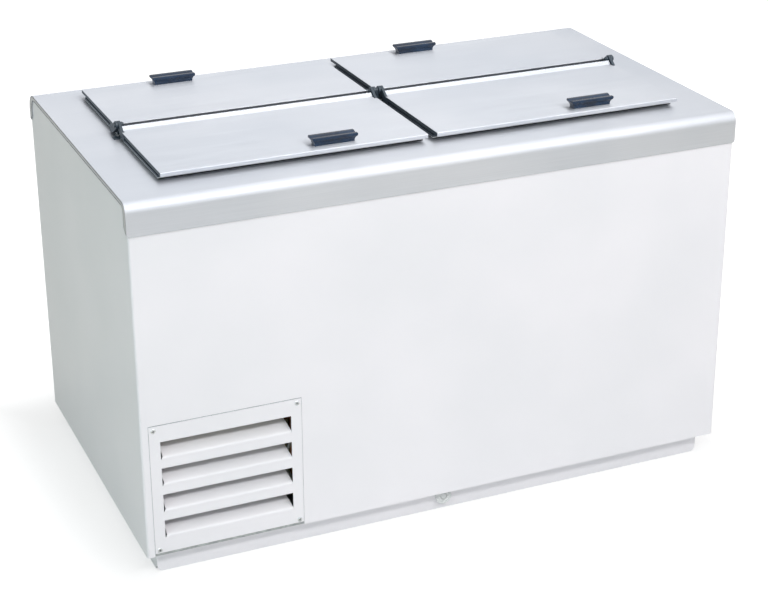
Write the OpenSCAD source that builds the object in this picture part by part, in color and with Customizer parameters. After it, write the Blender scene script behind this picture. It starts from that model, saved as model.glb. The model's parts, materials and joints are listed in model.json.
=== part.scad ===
// Ice cream freezer with four folding lids over two wells.
// X runs to the right, the front faces -Y and Z is up.
// The origin is on the floor at the middle of the footprint.

/* [Cabinet] */
// Width over the worktop
overall_w = 1300; // [1240:10:1500]
// Depth over the worktop
overall_d = 745; // [730:5:820]
// Height of the worktop above the floor
worktop_z = 795; // [775:5:860]
// From the front face back to the hinge line
hinge_back = 365; // [355:1:375]
// Thickness of the painted outer sheet
shell_t = 1; // [0.8:0.1:1.5]
// Corner radius of the outer sheet at the front
shell_corner_r = 5; // [3:0.5:12]
// Width of the folded flange under the outer sheet
shell_flange = 45; // [40:1:60]
// Width of the folded flange at the back of the outer sheet
back_flange = 18; // [14:1:24]
// Thickness of the base pan
base_t = 1.2; // [0.8:0.1:2]
// Thickness of the rear panel
back_t = 1; // [0.8:0.1:1.5]
// Clearance round the foam
foam_gap = 0.2; // [0.1:0.1:0.5]

/* [Plinth] */
// Height of the plinth
plinth_h = 50; // [46:1:80]
// How far the plinth stands back from the worktop's faces
plinth_inset = 28; // [22:1:34]
// Thickness of the plinth sheet
plinth_t = 2; // [1.5:0.5:3]
// Width of the plinth's folded flanges
plinth_flange = 25; // [15:1:40]
// Corner radius at the foot of the plinth's ends
plinth_corner_r = 12; // [6:1:16]

/* [Drain] */
// Distance of the drain from the middle
drain_x = 2; // [-40:1:40]
// Distance of the tank outlet in front of the hinge line
drain_y = 200; // [150:5:215]
// Height of the drain pipe's lower run
drain_z = 31; // [28:0.5:33]
// Outer radius of the drain pipe
drain_r = 11; // [8:0.5:12]
// Wall of the drain pipe
drain_wall = 2; // [1.5:0.5:3]
// Radius of the drain cap
cap_r = 17.5; // [15:0.5:19]
// Thickness of the drain cap
cap_t = 8; // [4:0.5:12]

/* [Worktop] */
// Sheet thickness of the worktop
top_t = 1.5; // [1:0.1:2]
// Height of the front and rear aprons
apron_h = 65; // [60:1:90]
// Radius of the front edge
front_edge_r = 20; // [12:1:26]
// Radius of the rear edge
rear_edge_r = 40; // [20:1:48]
// Overhang past the outer sheet and the rear panel
top_overhang = 2; // [1.8:0.1:5]
// Height of the folded side edge
side_fold = 10; // [6:1:14]
// Width of the folded ends of the aprons
end_fold = 18; // [12:1:24]
// Corner radius at the foot of the aprons
apron_corner_r = 6; // [2:0.5:12]

/* [Openings] */
// Width of the web between the two openings
web_w = 52; // [50:1:60]
// Width of each opening
opening_w = 515; // [480:5:520]
// Depth of each opening
opening_d = 490; // [460:5:500]
// Corner radius of the openings
opening_r = 15; // [8:1:25]
// Height of the hem folded down round each opening
hem_h = 12; // [8:1:16]

/* [Tank] */
// Wall of the plastic collar in each opening
collar_t = 4; // [3:0.5:6]
// Depth of the collar below the worktop
collar_drop = 47; // [42:1:60]
// Wall of the tank liner
liner_t = 1.2; // [0.8:0.1:2]
// Width of the liner's rim flange
rim_w = 14; // [10:1:20]
// Height of the deep floor above the ground
deep_z = 140; // [130:5:200]
// Height of the shallow floor above the ground
shallow_z = 420; // [400:5:450]
// Distance of the step left of the middle
step_x = 225; // [200:5:250]
// Width of the cross rail under the hinge line
rail_w = 40; // [36:1:50]
// Height of the cross rail
rail_h = 25; // [20:1:28]
// Wall of the cross rail
rail_t = 2.5; // [2:0.5:4]
// Length and height of the lugs that carry the rails
lug = 10; // [8:1:12]

/* [Lids] */
// How far each lid laps over the edge of its opening
lid_lap = 16; // [15.5:0.5:17]
// Height of the lid's upper face above the worktop
lid_top = 20; // [19:0.5:24]
// Sheet thickness of the lid skin
skin_t = 1; // [0.6:0.1:1.2]
// Overhang of the skin past the lid frame
skin_overhang = 22; // [16:1:28]
// Height of the folded front edge of the skin
skin_fold = 8; // [5:0.5:10]
// Distance of the skin's rear crease from the hinge line
crease_u = 16; // [15:0.5:20]
// Distance of the skin's rear tip from the hinge line
tip_u = 9; // [8.8:0.1:10]
// Distance of the lid frame from the hinge line
frame_u = 8; // [7.5:0.25:8.25]
// Width of the frame's wall
frame_wall = 14; // [10:1:18]
// Depth of the groove round the lid frame
groove = 3; // [1:0.5:4]
// Height of the frame's upper rib
upper_rib = 6.2; // [5:0.2:7]
// Height of the frame's lower rib
lower_rib = 4.2; // [3:0.2:5]
// Thickness of the inner pan
pan_t = 2.5; // [1.5:0.25:3]
// Thickness of the gasket
gasket_t = 1.6; // [1:0.1:2]
// Width of the gasket
gasket_w = 12; // [8:1:13]
// Clearance under the closed gasket
gasket_gap = 0.2; // [0.1:0.1:0.4]
// Width of the side wings under the skin's overhang
wing_w = 6; // [4:1:10]

/* [Hinges] */
// Height of the hinge line above the worktop
hinge_w = 28; // [27:0.5:30]
// Radius of the hinge eyes
eye_r = 8; // [7:0.25:8.25]
// Thickness of a hinge eye
eye_t = 5; // [4:0.25:5]
// Gap between neighbouring eyes
eye_gap = 0.5; // [0.3:0.1:0.6]
// Radius of the hinge pins
pin_r = 2.5; // [2:0.25:3]
// Running clearance of the eyes on the pins
pin_fit = 0.08; // [0.05:0.01:0.1]
// Half the width of a bracket's foot plate
foot_half = 6.5; // [5:0.25:7]
// Thickness of a bracket's foot plate
foot_t = 3; // [2:0.25:4]

/* [Handles] */
// Length of the handle at its foot
handle_foot = 83; // [70:1:90]
// Length of the handle at its top
handle_top = 95; // [92:1:120]
// Depth of the handle at its foot
handle_foot_d = 18; // [12:1:20]
// Depth of the handle at its top
handle_top_d = 28; // [24:1:32]
// Height of the handle
handle_h = 17.5; // [16:0.5:21]
// From the free edge of a front skin back to its handle's middle
handle_back = 31; // [28:1:33]
// From the free edge of a rear skin back to its handle's middle
rear_handle_back = 26; // [25:1:33]
// Offset of a front handle from its lid's middle
handle_shift = 85; // [40:1:120]
// Offset of a rear handle from its lid's middle
rear_handle_shift = 81; // [40:1:120]
// Radius of the studs under the handle
stud_r = 3; // [2:0.25:3.5]

/* [Service panel] */
// From the cabinet's left edge to the panel
panel_side = 18; // [14:1:30]
// Width of the panel
panel_w = 314; // [300:2:360]
// Height of the panel
panel_h = 283; // [280:1:300]
// Gap under the panel
panel_drop = 4; // [2:0.5:8]
// Thickness of the panel
panel_t = 1.2; // [0.8:0.1:1.6]
// How far the panel stands proud of the outer sheet
panel_proud = 0.4; // [0.2:0.1:1]
// Width of the mounting frame past the panel
frame_lap = 8; // [4:1:8]
// Number of louvres
louvres = 4; // [3:1:4]
// Width of a louvre opening
louvre_w = 268.5; // [240:0.5:270]
// Height of a louvre opening
louvre_h = 38; // [30:1:40]
// Height of the lowest louvre above the panel's foot
louvre_first = 36; // [30:1:42]
// Pitch of the louvres
louvre_pitch = 57.7; // [55:0.1:60]
// Rise of a louvre blade above the horizontal
louvre_angle = 34.5; // [25:0.5:50]
// Bend radius of a louvre blade
louvre_bend = 5; // [3:0.5:8]
// Distance of the panel screws from the panel's edges
screw_in = 10; // [8:0.5:12]
// Radius of the panel screw heads
screw_head_r = 5; // [4:0.25:6]

/* [Machinery] */
// Radius of the compressor
comp_r = 75; // [65:1:85]
// Height of the compressor can
comp_h = 180; // [150:5:190]
// Height of the compressor grommets
grommet_h = 14; // [10:1:20]
// Width of the condenser
cond_w = 250; // [220:5:255]
// Height of the condenser
cond_h = 236; // [210:1:245]
// Depth of the condenser
cond_d = 60; // [40:1:70]
// Pitch of the condenser fins
fin_pitch = 10; // [8:0.5:16]
// Outer radius of the condenser tube
cond_tube_r = 4; // [3:0.5:5]
// Radius of the fan blade
fan_r = 98; // [80:1:104]
// Number of fan blades
blades = 5; // [3:1:7]
// Radial gap round the fan
fan_gap = 7; // [4:1:9]
// Radius of the fan motor
motor_r = 40; // [30:1:50]
// Length of the fan motor
motor_l = 60; // [40:1:80]
// Outer radius of the refrigerant pipes
pipe_r = 4; // [3:0.5:4]
// Outer radius of the evaporator tube
coil_r = 4; // [3:0.5:4.5]
// Number of turns of the evaporator
coil_turns = 5; // [2:1:6]
// Pitch of the evaporator turns
coil_pitch = 45; // [30:1:45]
// Radius of the thermostat knob
knob_r = 19; // [14:1:24]
// Depth of the recess that holds the knob
recess = 19; // [16:1:30]
// Radius of the cable gland's bore
gland_r = 4.5; // [3:0.25:6]
// Length of the cable gland inside the rear panel
gland_l = 18; // [10:1:30]

/* [Hidden] */
$fn = 48;
cut = 1;
seat = 0.3;
seam = 0.02;

// Main planes
half_w = overall_w / 2;
front_y = -overall_d / 2;
rear_y = overall_d / 2;
hinge_y = front_y + hinge_back;
under_z = worktop_z - top_t;
apron_z = worktop_z - apron_h;
shell_x = half_w - top_overhang;
shell_front = front_y + top_overhang;
shell_rear = rear_y - top_overhang - back_t;
inner_x = shell_x - shell_t;
inner_front = shell_front + shell_t;
floor_z = plinth_h + shell_t + base_t;

// Openings, collars and tank
open_in = web_w / 2;
open_out = open_in + opening_w;
collar_gap = 0.3;
collar_out = top_t + collar_gap + collar_t;
collar_z = worktop_z - collar_drop;
well_wall = top_t + collar_gap;
tank_x = open_out + well_wall + liner_t;
tank_y = opening_d / 2 + well_wall + liner_t;
tank_corner_r = opening_r + well_wall + liner_t;
coil_room = 2 * coil_r + 2 * seat + 1;
coil_z = collar_z - 40;
riser_x = tank_x + coil_r + seat;
riser_step = 2 * coil_r + 1.5;

// Machine compartment
panel_x0 = -half_w + panel_side;
panel_mid = panel_x0 + panel_w / 2;
panel_z0 = plinth_h + panel_drop;
panel_z1 = panel_z0 + panel_h;
bay_x1 = panel_x0 + panel_w + frame_lap + 10;
bay_z1 = panel_z1 + frame_lap + 4;
panel_face = shell_front - panel_proud;
louvre_reach = louvre_h * cos(louvre_angle) + louvre_bend;
cond_front = inner_front + louvre_reach + 5;
cond_back = cond_front + cond_d;
cond_z0 = floor_z;
cond_cols = 2;
cond_rows = 6;
tube_end = cond_w / 2 + 4;
shroud_t = 8;
shroud_w = 2 * (fan_r + fan_gap) + 60;
shroud_h = 2 * (fan_r + fan_gap) + 30;
fan_z = floor_z + shroud_h / 2;
fan_y = cond_back + shroud_t + 6;
fan_depth = 20;
motor_y = fan_y + fan_depth + 6;
shaft_r = 3;
shaft_in = 21;
comp_y = 130;
comp_z = floor_z + grommet_h;
stub_z = comp_z + comp_h + 14;
line_x = bay_x1 - 22;
drier_x = bay_x1 - 11;
drier_y = -100;
drier_l = 90;
drier_z = floor_z + 28;
riser_end = bay_z1 - 22;
suction_y = 60;
capillary_y = -60;
capillary_r = 1.5;
cup_r = knob_r + 5;

// Lids
lid_in = open_in - lid_lap;
lid_out = open_out + lid_lap;
frame_front = opening_d / 2 + lid_lap;
skin_front = frame_front + skin_overhang;
skin_under = lid_top - skin_t;
gasket_top = gasket_gap + gasket_t;
frame_under = gasket_top + pan_t;
stud_x = 30;
stud_depth = 8;

// Hinge stations, counted outward from a lid's side edge
front_eye_out = 1;
rear_eye_in = front_eye_out + eye_gap;
rear_eye_out = rear_eye_in + eye_t;
ear_out = front_eye_out - eye_t - eye_gap;
ear_in = ear_out - 4.5;
ear_r = pin_r + 3;
mid_ear_half = lid_in - rear_eye_out - eye_gap;
arm_clear = 1.5;
pin_hole = pin_r + pin_fit;
bracket_screw_r = 2;
bracket_screws_out = [0, 7.5];
bracket_screw_mid = 17;

// Colours
white_paint = "#eceef0";
stainless = "#dfe2e6";
dark_plastic = "#3b4650";
navy_plastic = "#2b3c4c";
light_plastic = "#e4e6e6";
foam = "#efe6c4";
steel = "#b4b9be";
copper = "#c07a4a";
black_rubber = "#26282a";

// Flat shapes

// A rectangle from one corner to the other
module span(x0, y0, x1, y1) {
  translate([x0, y0]) square([x1 - x0, y1 - y0]);
}

// A rectangle about the origin with round corners
module round_rect(w, d, r) {
  union() {
    span(-w / 2 + r, -d / 2, w / 2 - r, d / 2);
    span(-w / 2, -d / 2 + r, w / 2, d / 2 - r);
    for (sx = [-1, 1], sy = [-1, 1]) translate([sx * (w / 2 - r), sy * (d / 2 - r)]) circle(r);
  }
}

// Plan of the cabinet with its two front corners rounded
module cabinet_plan(inset, back) {
  x = shell_x - inset;
  f = shell_front + inset;
  r = max(shell_corner_r - inset, 0.5);
  union() {
    span(-x, f + r, x, back);
    span(-x + r, f, x - r, f + r + cut);
    for (s = [-1, 1]) translate([s * (x - r), f + r]) circle(r);
  }
}

// Side view of the worktop, drawn in by given amounts at the front, top and rear
module top_profile(f, t, b, foot) {
  y0 = front_y + f;
  y1 = rear_y - b;
  z1 = worktop_z - t;
  rf = max(front_edge_r - t, 2);
  rr = max(rear_edge_r - t, 2);
  union() {
    span(y0 + rf, foot, y1 - rr, z1);
    span(y0, foot, y0 + rf + cut, z1 - rf);
    span(y1 - rr - cut, foot, y1, z1 - rr);
    translate([y0 + rf, z1 - rf]) circle(rf);
    translate([y1 - rr, z1 - rr]) circle(rr);
  }
}

// Puts a shape drawn in Y and Z across the cabinet from x0 to x1
module across(x0, x1) {
  translate([x0, 0, 0]) rotate([90, 0, 90]) linear_extrude(x1 - x0) children();
}

// Everything that lies under the worktop sheet
module under_worktop() {
  across(-half_w, half_w) top_profile(top_t + 0.2, top_t, top_t + 0.2, 0);
}

// The plan of one opening, grown by a given amount, for the right or the left well
module opening_plan(left, grow) {
  mid = (open_in + open_out) / 2;
  translate([left ? -mid : mid, hinge_y])
    round_rect(opening_w + 2 * grow, opening_d + 2 * grow, opening_r + grow);
}

// Swept tubes

function unit(v) = v / norm(v);
function heading(p, i) =
  i == 0 ? unit(p[1] - p[0]) :
  i == len(p) - 1 ? unit(p[i] - p[i - 1]) :
  unit(unit(p[i + 1] - p[i]) + unit(p[i] - p[i - 1]));
function sideways(t) = unit(abs(t.z) < 0.9 ? cross(t, [0, 0, 1]) : cross(t, [1, 0, 0]));
// Carries one side direction along the path without twisting it
function sides(p, i, s) =
  i >= len(p) ? [] :
  let (t = heading(p, i), n = unit(s - (s * t) * t)) concat([n], sides(p, i + 1, n));
// Rounds the corner at b between a and c
function corner(a, b, c, r, n) =
  let (u = unit(b - a), v = unit(c - b), turn = acos(min(1, max(-1, u * v))))
  turn < 1 ? [b] :
  let (reach = r * tan(turn / 2), start = b - reach * u, inward = unit(v - (v * u) * u))
  [for (k = [0 : n]) let (q = turn * k / n) start + r * sin(q) * u + r * (1 - cos(q)) * inward];
function rounded(p, r, n) = [
  for (i = [0 : len(p) - 1])
    each (i == 0 || i == len(p) - 1 ? [p[i]] : corner(p[i - 1], p[i], p[i + 1], r, n))
];
module tube(p, r, k) {
  t = [for (i = [0 : len(p) - 1]) heading(p, i)];
  a = sides(p, 0, sideways(t[0]));
  rings = [for (i = [0 : len(p) - 1], j = [0 : k - 1])
    p[i] + r * (cos(360 * j / k) * a[i] + sin(360 * j / k) * cross(t[i], a[i]))];
  last = (len(p) - 1) * k;
  skin = [for (i = [0 : len(p) - 2], j = [0 : k - 1])
    let (m = (j + 1) % k, q = i * k)
    each [[q + j, q + k + j, q + m], [q + m, q + k + j, q + k + m]]];
  caps = [for (j = [1 : k - 2]) each [[0, j, j + 1], [last, last + j + 1, last + j]]];
  polyhedron(rings, concat(skin, caps), convexity = 8);
}

// Plinth and base

module plinth_frame() {
  w = overall_w - 2 * plinth_inset;
  d = overall_d - 2 * plinth_inset;
  color(white_paint) difference() {
    linear_extrude(plinth_h) square([w, d], center = true);
    translate([0, 0, plinth_t]) linear_extrude(plinth_h - 2 * plinth_t)
      square([w - 2 * plinth_t, d - 2 * plinth_t], center = true);
    translate([0, 0, -cut]) linear_extrude(plinth_h + 2 * cut)
      square([w - 2 * plinth_flange, d - 2 * plinth_flange], center = true);
    for (s = [-1, 1]) plinth_corner_cut(s, w / 2, d);
    translate([drain_x, -d / 2 - cut, drain_z]) rotate([-90, 0, 0])
      cylinder(r = drain_r + seat, h = plinth_t + 2 * cut);
  }
}

// Rounds the foot of both ends of the plinth
module plinth_corner_cut(s, x, d) {
  r = plinth_corner_r;
  for (e = [-1, 1]) translate([s * (x - r), e * (d / 2 - r / 2), r]) rotate([90, 0, 0]) difference() {
    translate([s > 0 ? 0 : -r - cut, -r - cut, -r / 2 - cut]) cube([r + cut, r + cut, r + 2 * cut]);
    translate([0, 0, -r]) cylinder(r = r, h = 2 * r);
  }
}

module drain_cap() {
  y = front_y + plinth_inset;
  bore = drain_r - drain_wall;
  color(light_plastic) translate([drain_x, y, drain_z]) rotate([90, 0, 0]) {
    cylinder(r = cap_r, h = cap_t - 2);
    translate([0, 0, cap_t - 2]) cylinder(r1 = cap_r, r2 = cap_r - 2, h = 2);
    translate([0, 0, -14]) difference() {
      cylinder(r = bore - 0.1, h = 14 + cut);
      translate([0, 0, -cut]) cylinder(r = bore - 2, h = 14);
    }
  }
}

// Drain path: down from the tank floor, round a bend and forward to the plinth's face
module drain_pipe() {
  bore = drain_r - drain_wall;
  bend = plinth_h - drain_z - 1;
  y = hinge_y - drain_y;
  color(light_plastic) difference() {
    drain_run(drain_r, bend, y, 0);
    drain_run(bore, bend, y, cut);
  }
  color(light_plastic) translate([drain_x, y, deep_z + liner_t]) difference() {
    cylinder(r = drain_r + 5, h = 1.2);
    translate([0, 0, -cut]) cylinder(r = bore, h = 4);
  }
}
module drain_run(r, bend, y, past) {
  top = deep_z + liner_t + past;
  run_end = front_y + plinth_inset - past;
  translate([drain_x, y, drain_z + bend]) cylinder(r = r, h = top - drain_z - bend);
  translate([drain_x, y - bend, drain_z + bend]) rotate([0, 90, 0])
    rotate_extrude(angle = 90) translate([bend, 0]) circle(r);
  translate([drain_x, run_end, drain_z]) rotate([-90, 0, 0]) cylinder(r = r, h = y - bend - run_end);
}

module base_pan() {
  color(steel) translate([0, 0, plinth_h + shell_t]) linear_extrude(base_t) difference() {
    cabinet_plan(shell_t + foam_gap, shell_rear - shell_t - foam_gap);
    translate([drain_x, hinge_y - drain_y]) circle(drain_r + seat);
  }
}

// Outer sheet

// Foot flange, side, corner and front panels and rear flanges, set edge to edge
module outer_shell() {
  color(white_paint) difference() {
    intersection() {
      union() {
        translate([0, 0, plinth_h]) linear_extrude(under_z - plinth_h) shell_section();
        translate([0, 0, plinth_h]) linear_extrude(shell_t) difference() {
          cabinet_plan(0, shell_rear);
          span(-shell_x + shell_flange, shell_front + shell_flange, shell_x - shell_flange, shell_rear + cut);
        }
      }
      under_worktop();
    }
    translate([panel_x0, shell_front - cut, plinth_h - cut])
      cube([panel_w, shell_t + 2 * cut, panel_z1 + 1 - plinth_h + cut]);
    rear_screw_places() cylinder(r = 1.9, h = 4 * shell_t, center = true);
    translate([0, 0, plinth_h + shell_t]) shell_seams(worktop_z - plinth_h);
  }
}
// Seams between those panels, up to a given height
module shell_seams(h) {
  t = 2 * shell_t;
  translate([-half_w, front_y, 0]) cube([overall_w, overall_d, seam]);
  for (s = [0, 1]) mirror([s, 0, 0]) {
    translate([inner_x - seam, shell_rear - t, 0]) cube([seam, 2 * t, h]);
    translate([inner_x - t, shell_front + shell_corner_r, 0]) cube([2 * t, seam, h]);
    translate([shell_x - shell_corner_r - seam, shell_front - t, 0]) cube([seam, 2 * t, h]);
  }
}
module shell_section() {
  difference() {
    cabinet_plan(0, shell_rear);
    difference() {
      cabinet_plan(shell_t, shell_rear + cut);
      for (s = [-1, 1]) translate([s * (inner_x - back_flange / 2), shell_rear])
        square([back_flange, 2 * shell_t], center = true);
    }
  }
}

// Places of the screws down both sides of the rear panel
module rear_screw_places() {
  for (s = [-1, 1], z = [0 : 3])
    translate([s * (inner_x - back_flange / 2), shell_rear, plinth_h + 40 + z * (apron_z - plinth_h - 80) / 3])
      rotate([-90, 0, 0]) children();
}

module rear_panel() {
  slot_w = 56;
  slots = 4;
  rows = 7;
  slot_h = 6;
  slot_x0 = panel_mid - (slots * slot_w + (slots - 1) * 14) / 2;
  color(steel) difference() {
    translate([-shell_x + 0.5, shell_rear, plinth_h])
      cube([2 * shell_x - 1, back_t, worktop_z - rear_edge_r - plinth_h]);
    for (i = [0 : slots - 1], j = [0 : rows - 1])
      translate([slot_x0 + i * (slot_w + 14), shell_rear - cut, floor_z + 70 + j * 16])
        cube([slot_w, back_t + 2 * cut, slot_h]);
    gland_place() cylinder(r = gland_r + 3.5, h = 4 * back_t, center = true);
    thermostat_place() cylinder(r = cup_r + seat, h = 4 * back_t, center = true);
    rear_screw_places() cylinder(r = 2.1, h = 4 * back_t, center = true);
  }
}
module gland_place() {
  translate([panel_mid - 90, shell_rear, floor_z + 36]) rotate([-90, 0, 0]) children();
}
module thermostat_place() {
  translate([panel_mid + 60, shell_rear, bay_z1 - 80]) rotate([-90, 0, 0]) children();
}

// Foam, tank and collars

// Room that the tank takes in the foam
module tank_body(grow, top) {
  x = tank_x + grow;
  y = tank_y + grow;
  r = tank_corner_r + grow;
  difference() {
    translate([0, hinge_y, deep_z - grow]) linear_extrude(top - deep_z + grow) round_rect(2 * x, 2 * y, r);
    translate([-x - cut, hinge_y - y - cut, deep_z - grow - cut])
      cube([x - step_x - grow + cut, 2 * y + 2 * cut, shallow_z - deep_z + cut]);
  }
}

// Flat panels and rounded corner strips set edge to edge, with a flange round the top
module tank_liner() {
  t = liner_t;
  inner_x = tank_x - t;
  inner_y = tank_y - t;
  color(light_plastic) translate([0, hinge_y, 0]) {
    tank_walls(-tank_x, shallow_z, collar_z, true);
    tank_walls(-step_x, deep_z, shallow_z - seam, false);
    difference() {
      tank_floor(deep_z, t - step_x, inner_x);
      translate([drain_x, -drain_y, deep_z - cut]) cylinder(r = drain_r + 0.1, h = t + 2 * cut);
    }
    tank_floor(shallow_z, -inner_x, t - step_x);
    for (s = [-1, 1]) {
      translate([tank_corner_r + seam - tank_x, s > 0 ? inner_y : -inner_y - rim_w, collar_z - t])
        cube([2 * (tank_x - tank_corner_r - seam), rim_w, t]);
      translate([s > 0 ? inner_x : -inner_x - rim_w, tank_corner_r + seam - tank_y, collar_z - t])
        cube([rim_w, 2 * (tank_y - tank_corner_r - seam), t]);
    }
    translate([well_wall - open_in, seam - inner_y, collar_z - t])
      cube([2 * (open_in - well_wall), 2 * (inner_y - seam), t]);
  }
}
// Upright panels between two heights, closed at the left by a round-cornered end or by the step
module tank_walls(x0, z0, z1, round_end) {
  t = liner_t;
  r = tank_corner_r;
  h = z1 - z0 - (round_end ? t + seam : 0);
  start = x0 + (round_end ? r + seam : 0);
  end_y = tank_y - (round_end ? r : t) - seam;
  for (s = [-1, 1]) translate([start, s > 0 ? tank_y - t : -tank_y, z0])
    cube([tank_x - r - seam - start, t, h]);
  translate([tank_x - t, r + seam - tank_y, z0]) cube([t, 2 * (tank_y - r - seam), h]);
  translate([x0, -end_y, z0]) cube([t, 2 * end_y, h]);
  for (q = round_end ? [[1, 1, 0], [-1, 1, 90], [-1, -1, 180], [1, -1, 270]] : [[1, 1, 0], [1, -1, 270]])
    translate([q[0] * (tank_x - r), q[1] * (tank_y - r), z0]) rotate(q[2])
      rotate_extrude(angle = 90) translate([r - t, 0]) square([t, z1 - z0]);
}
module tank_floor(z, x0, x1) {
  in = liner_t + seam;
  translate([0, 0, z]) linear_extrude(liner_t) intersection() {
    round_rect(2 * (tank_x - in), 2 * (tank_y - in), tank_corner_r - in);
    span(x0 + seam, -tank_y, x1, tank_y);
  }
}

module collar(left) {
  color(light_plastic) difference() {
    union() {
      translate([0, 0, collar_z]) linear_extrude(under_z - collar_z) difference() {
        opening_plan(left, collar_out);
        opening_plan(left, well_wall);
      }
      for (far = [true, false]) collar_lug(left, far);
    }
    bracket_screw_places(bracket_screw_r + 0.1);
  }
}
// Lug under one end of the cross rail
module collar_lug(left, far) {
  s = left ? -1 : 1;
  edge = far ? open_out + well_wall : open_in - well_wall;
  back = far ? cut : -cut;
  tip = far ? edge - lug - well_wall : edge + lug + well_wall;
  top = worktop_z - rail_h;
  x0 = min(s * (edge + back), s * tip);
  x1 = max(s * (edge + back), s * tip);
  translate([x0, hinge_y - rail_w / 2, top - lug]) cube([x1 - x0, rail_w, lug]);
}
module left_well_collar() {
  collar(true);
}
module right_well_collar() {
  collar(false);
}

module insulation() {
  gap = foam_gap;
  flange = rim_w - liner_t;
  color(foam) difference() {
    intersection() {
      translate([0, 0, floor_z]) linear_extrude(under_z - floor_z)
        cabinet_plan(shell_t + gap, shell_rear - shell_t - gap);
      across(-half_w, half_w) top_profile(top_t + 0.6, top_t, top_t + 0.6, 0);
    }
    translate([-half_w, front_y, 0]) cube([half_w + bay_x1, overall_d, bay_z1]);
    tank_body(gap, collar_z - liner_t);
    translate([0, hinge_y, collar_z - liner_t - gap]) linear_extrude(liner_t + gap)
      round_rect(2 * (tank_x + flange + gap), 2 * (tank_y + flange + gap), opening_r + rim_w + gap);
    for (left = [true, false]) translate([0, 0, collar_z - cut]) linear_extrude(collar_drop)
      opening_plan(left, collar_out + gap);
    coil_pocket();
    translate([drain_x, hinge_y - drain_y, 0]) cylinder(r = drain_r + seat, h = deep_z);
    bracket_screw_places(bracket_screw_r + 0.2);
  }
}
// Room for the evaporator and its two risers
module coil_pocket() {
  x = tank_x + coil_room;
  y = tank_y + coil_room;
  r = tank_corner_r + coil_room;
  low = coil_z - coil_turns * coil_pitch - coil_r - 1;
  translate([0, hinge_y, low]) linear_extrude(coil_z + coil_r + 2 - low) round_rect(2 * x, 2 * y, r);
  for (q = [[riser_x, suction_y, low + cut], [riser_x + riser_step, capillary_y, coil_z + coil_r + 2]])
    translate([-q[0], q[1], bay_z1 - cut]) cylinder(r = coil_r + 1.5, h = q[2] - bay_z1 + cut);
  translate([-riser_x - riser_step - coil_r - 1, capillary_y - 52, coil_z - 34])
    cube([riser_step + coil_r, 64, 36 + coil_r]);
}

// One continuous tube wound round the tank, with both ends led down into the machine bay
module evaporator_coil() {
  x = riser_x;
  y = tank_y + coil_r + seat;
  back = coil_turns * coil_pitch;
  // Corners in order from the front left, each a quarter of the pitch lower than the last
  turn_points = [for (i = [0 : 4 * coil_turns - 1])
    let (c = i % 4, z = coil_z - coil_pitch * (i + 0.5) / 4)
    [(c == 0 || c == 3) ? -x : x, hinge_y + ((c < 2) ? -y : y), z]];
  path = concat(
    [[-x - riser_step, capillary_y, riser_end], [-x - riser_step, capillary_y, coil_z - 6]],
    [[-x, capillary_y - 40, coil_z - 2]],
    turn_points,
    [[-x, suction_y, coil_z - back + 12], [-x, suction_y, riser_end]]
  );
  color(copper) tube(rounded(path, tank_corner_r + coil_r + seat, 6), coil_r, 8);
}

module hinge_rail(left) {
  gap = seat;
  x0 = left ? -open_out + gap : open_in + gap;
  w = opening_w - 2 * gap;
  color(light_plastic) translate([x0, hinge_y - rail_w / 2, worktop_z - rail_h]) difference() {
    cube([w, rail_w, rail_h]);
    translate([rail_t, rail_t, -cut]) cube([w - 2 * rail_t, rail_w - 2 * rail_t, rail_h - rail_t + cut]);
  }
}
module left_hinge_rail() {
  hinge_rail(true);
}
module right_hinge_rail() {
  hinge_rail(false);
}

// Worktop

module worktop() {
  color(stainless) difference() {
    union() {
      intersection() {
        union() {
          across(-half_w, half_w) difference() {
            top_profile(0, 0, 0, apron_z);
            top_profile(top_t, top_t, top_t, apron_z - cut);
          }
          for (s = [-1, 1]) to_side(s) across(half_w - top_t, half_w) side_edge();
        }
        apron_corners();
      }
      for (left = [true, false]) translate([0, 0, worktop_z - hem_h]) linear_extrude(hem_h)
        opening_plan(left, top_t);
    }
    for (left = [true, false]) translate([0, 0, worktop_z - hem_h - cut]) linear_extrude(hem_h + 2 * cut)
      opening_plan(left, 0);
    bracket_screw_places(bracket_screw_r + 0.2);
  }
}
// Folded edge seen from the side: a narrow band along the top that widens down both aprons
module side_edge() {
  difference() {
    top_profile(0, 0, 0, apron_z);
    top_profile(end_fold, side_fold, end_fold, apron_z - cut);
    for (rear = [true, false]) translate([rear ? rear_y : front_y, apron_z]) mirror([rear ? 1 : 0, 0])
      polygon([[end_fold / 6, -cut], [end_fold + cut, -cut], [end_fold + cut, end_fold - 2]]);
  }
}
// Front view of the worktop with the lower corners of its aprons rounded
module apron_corners() {
  r = apron_corner_r;
  translate([0, rear_y + cut, 0]) rotate([90, 0, 0]) linear_extrude(overall_d + 2 * cut) union() {
    span(-half_w, apron_z + r, half_w, worktop_z + cut);
    span(-half_w + r, apron_z, half_w - r, apron_z + r + cut);
    for (s = [-1, 1]) translate([s * (half_w - r), apron_z + r]) circle(r);
  }
}

// Service panel

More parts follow.
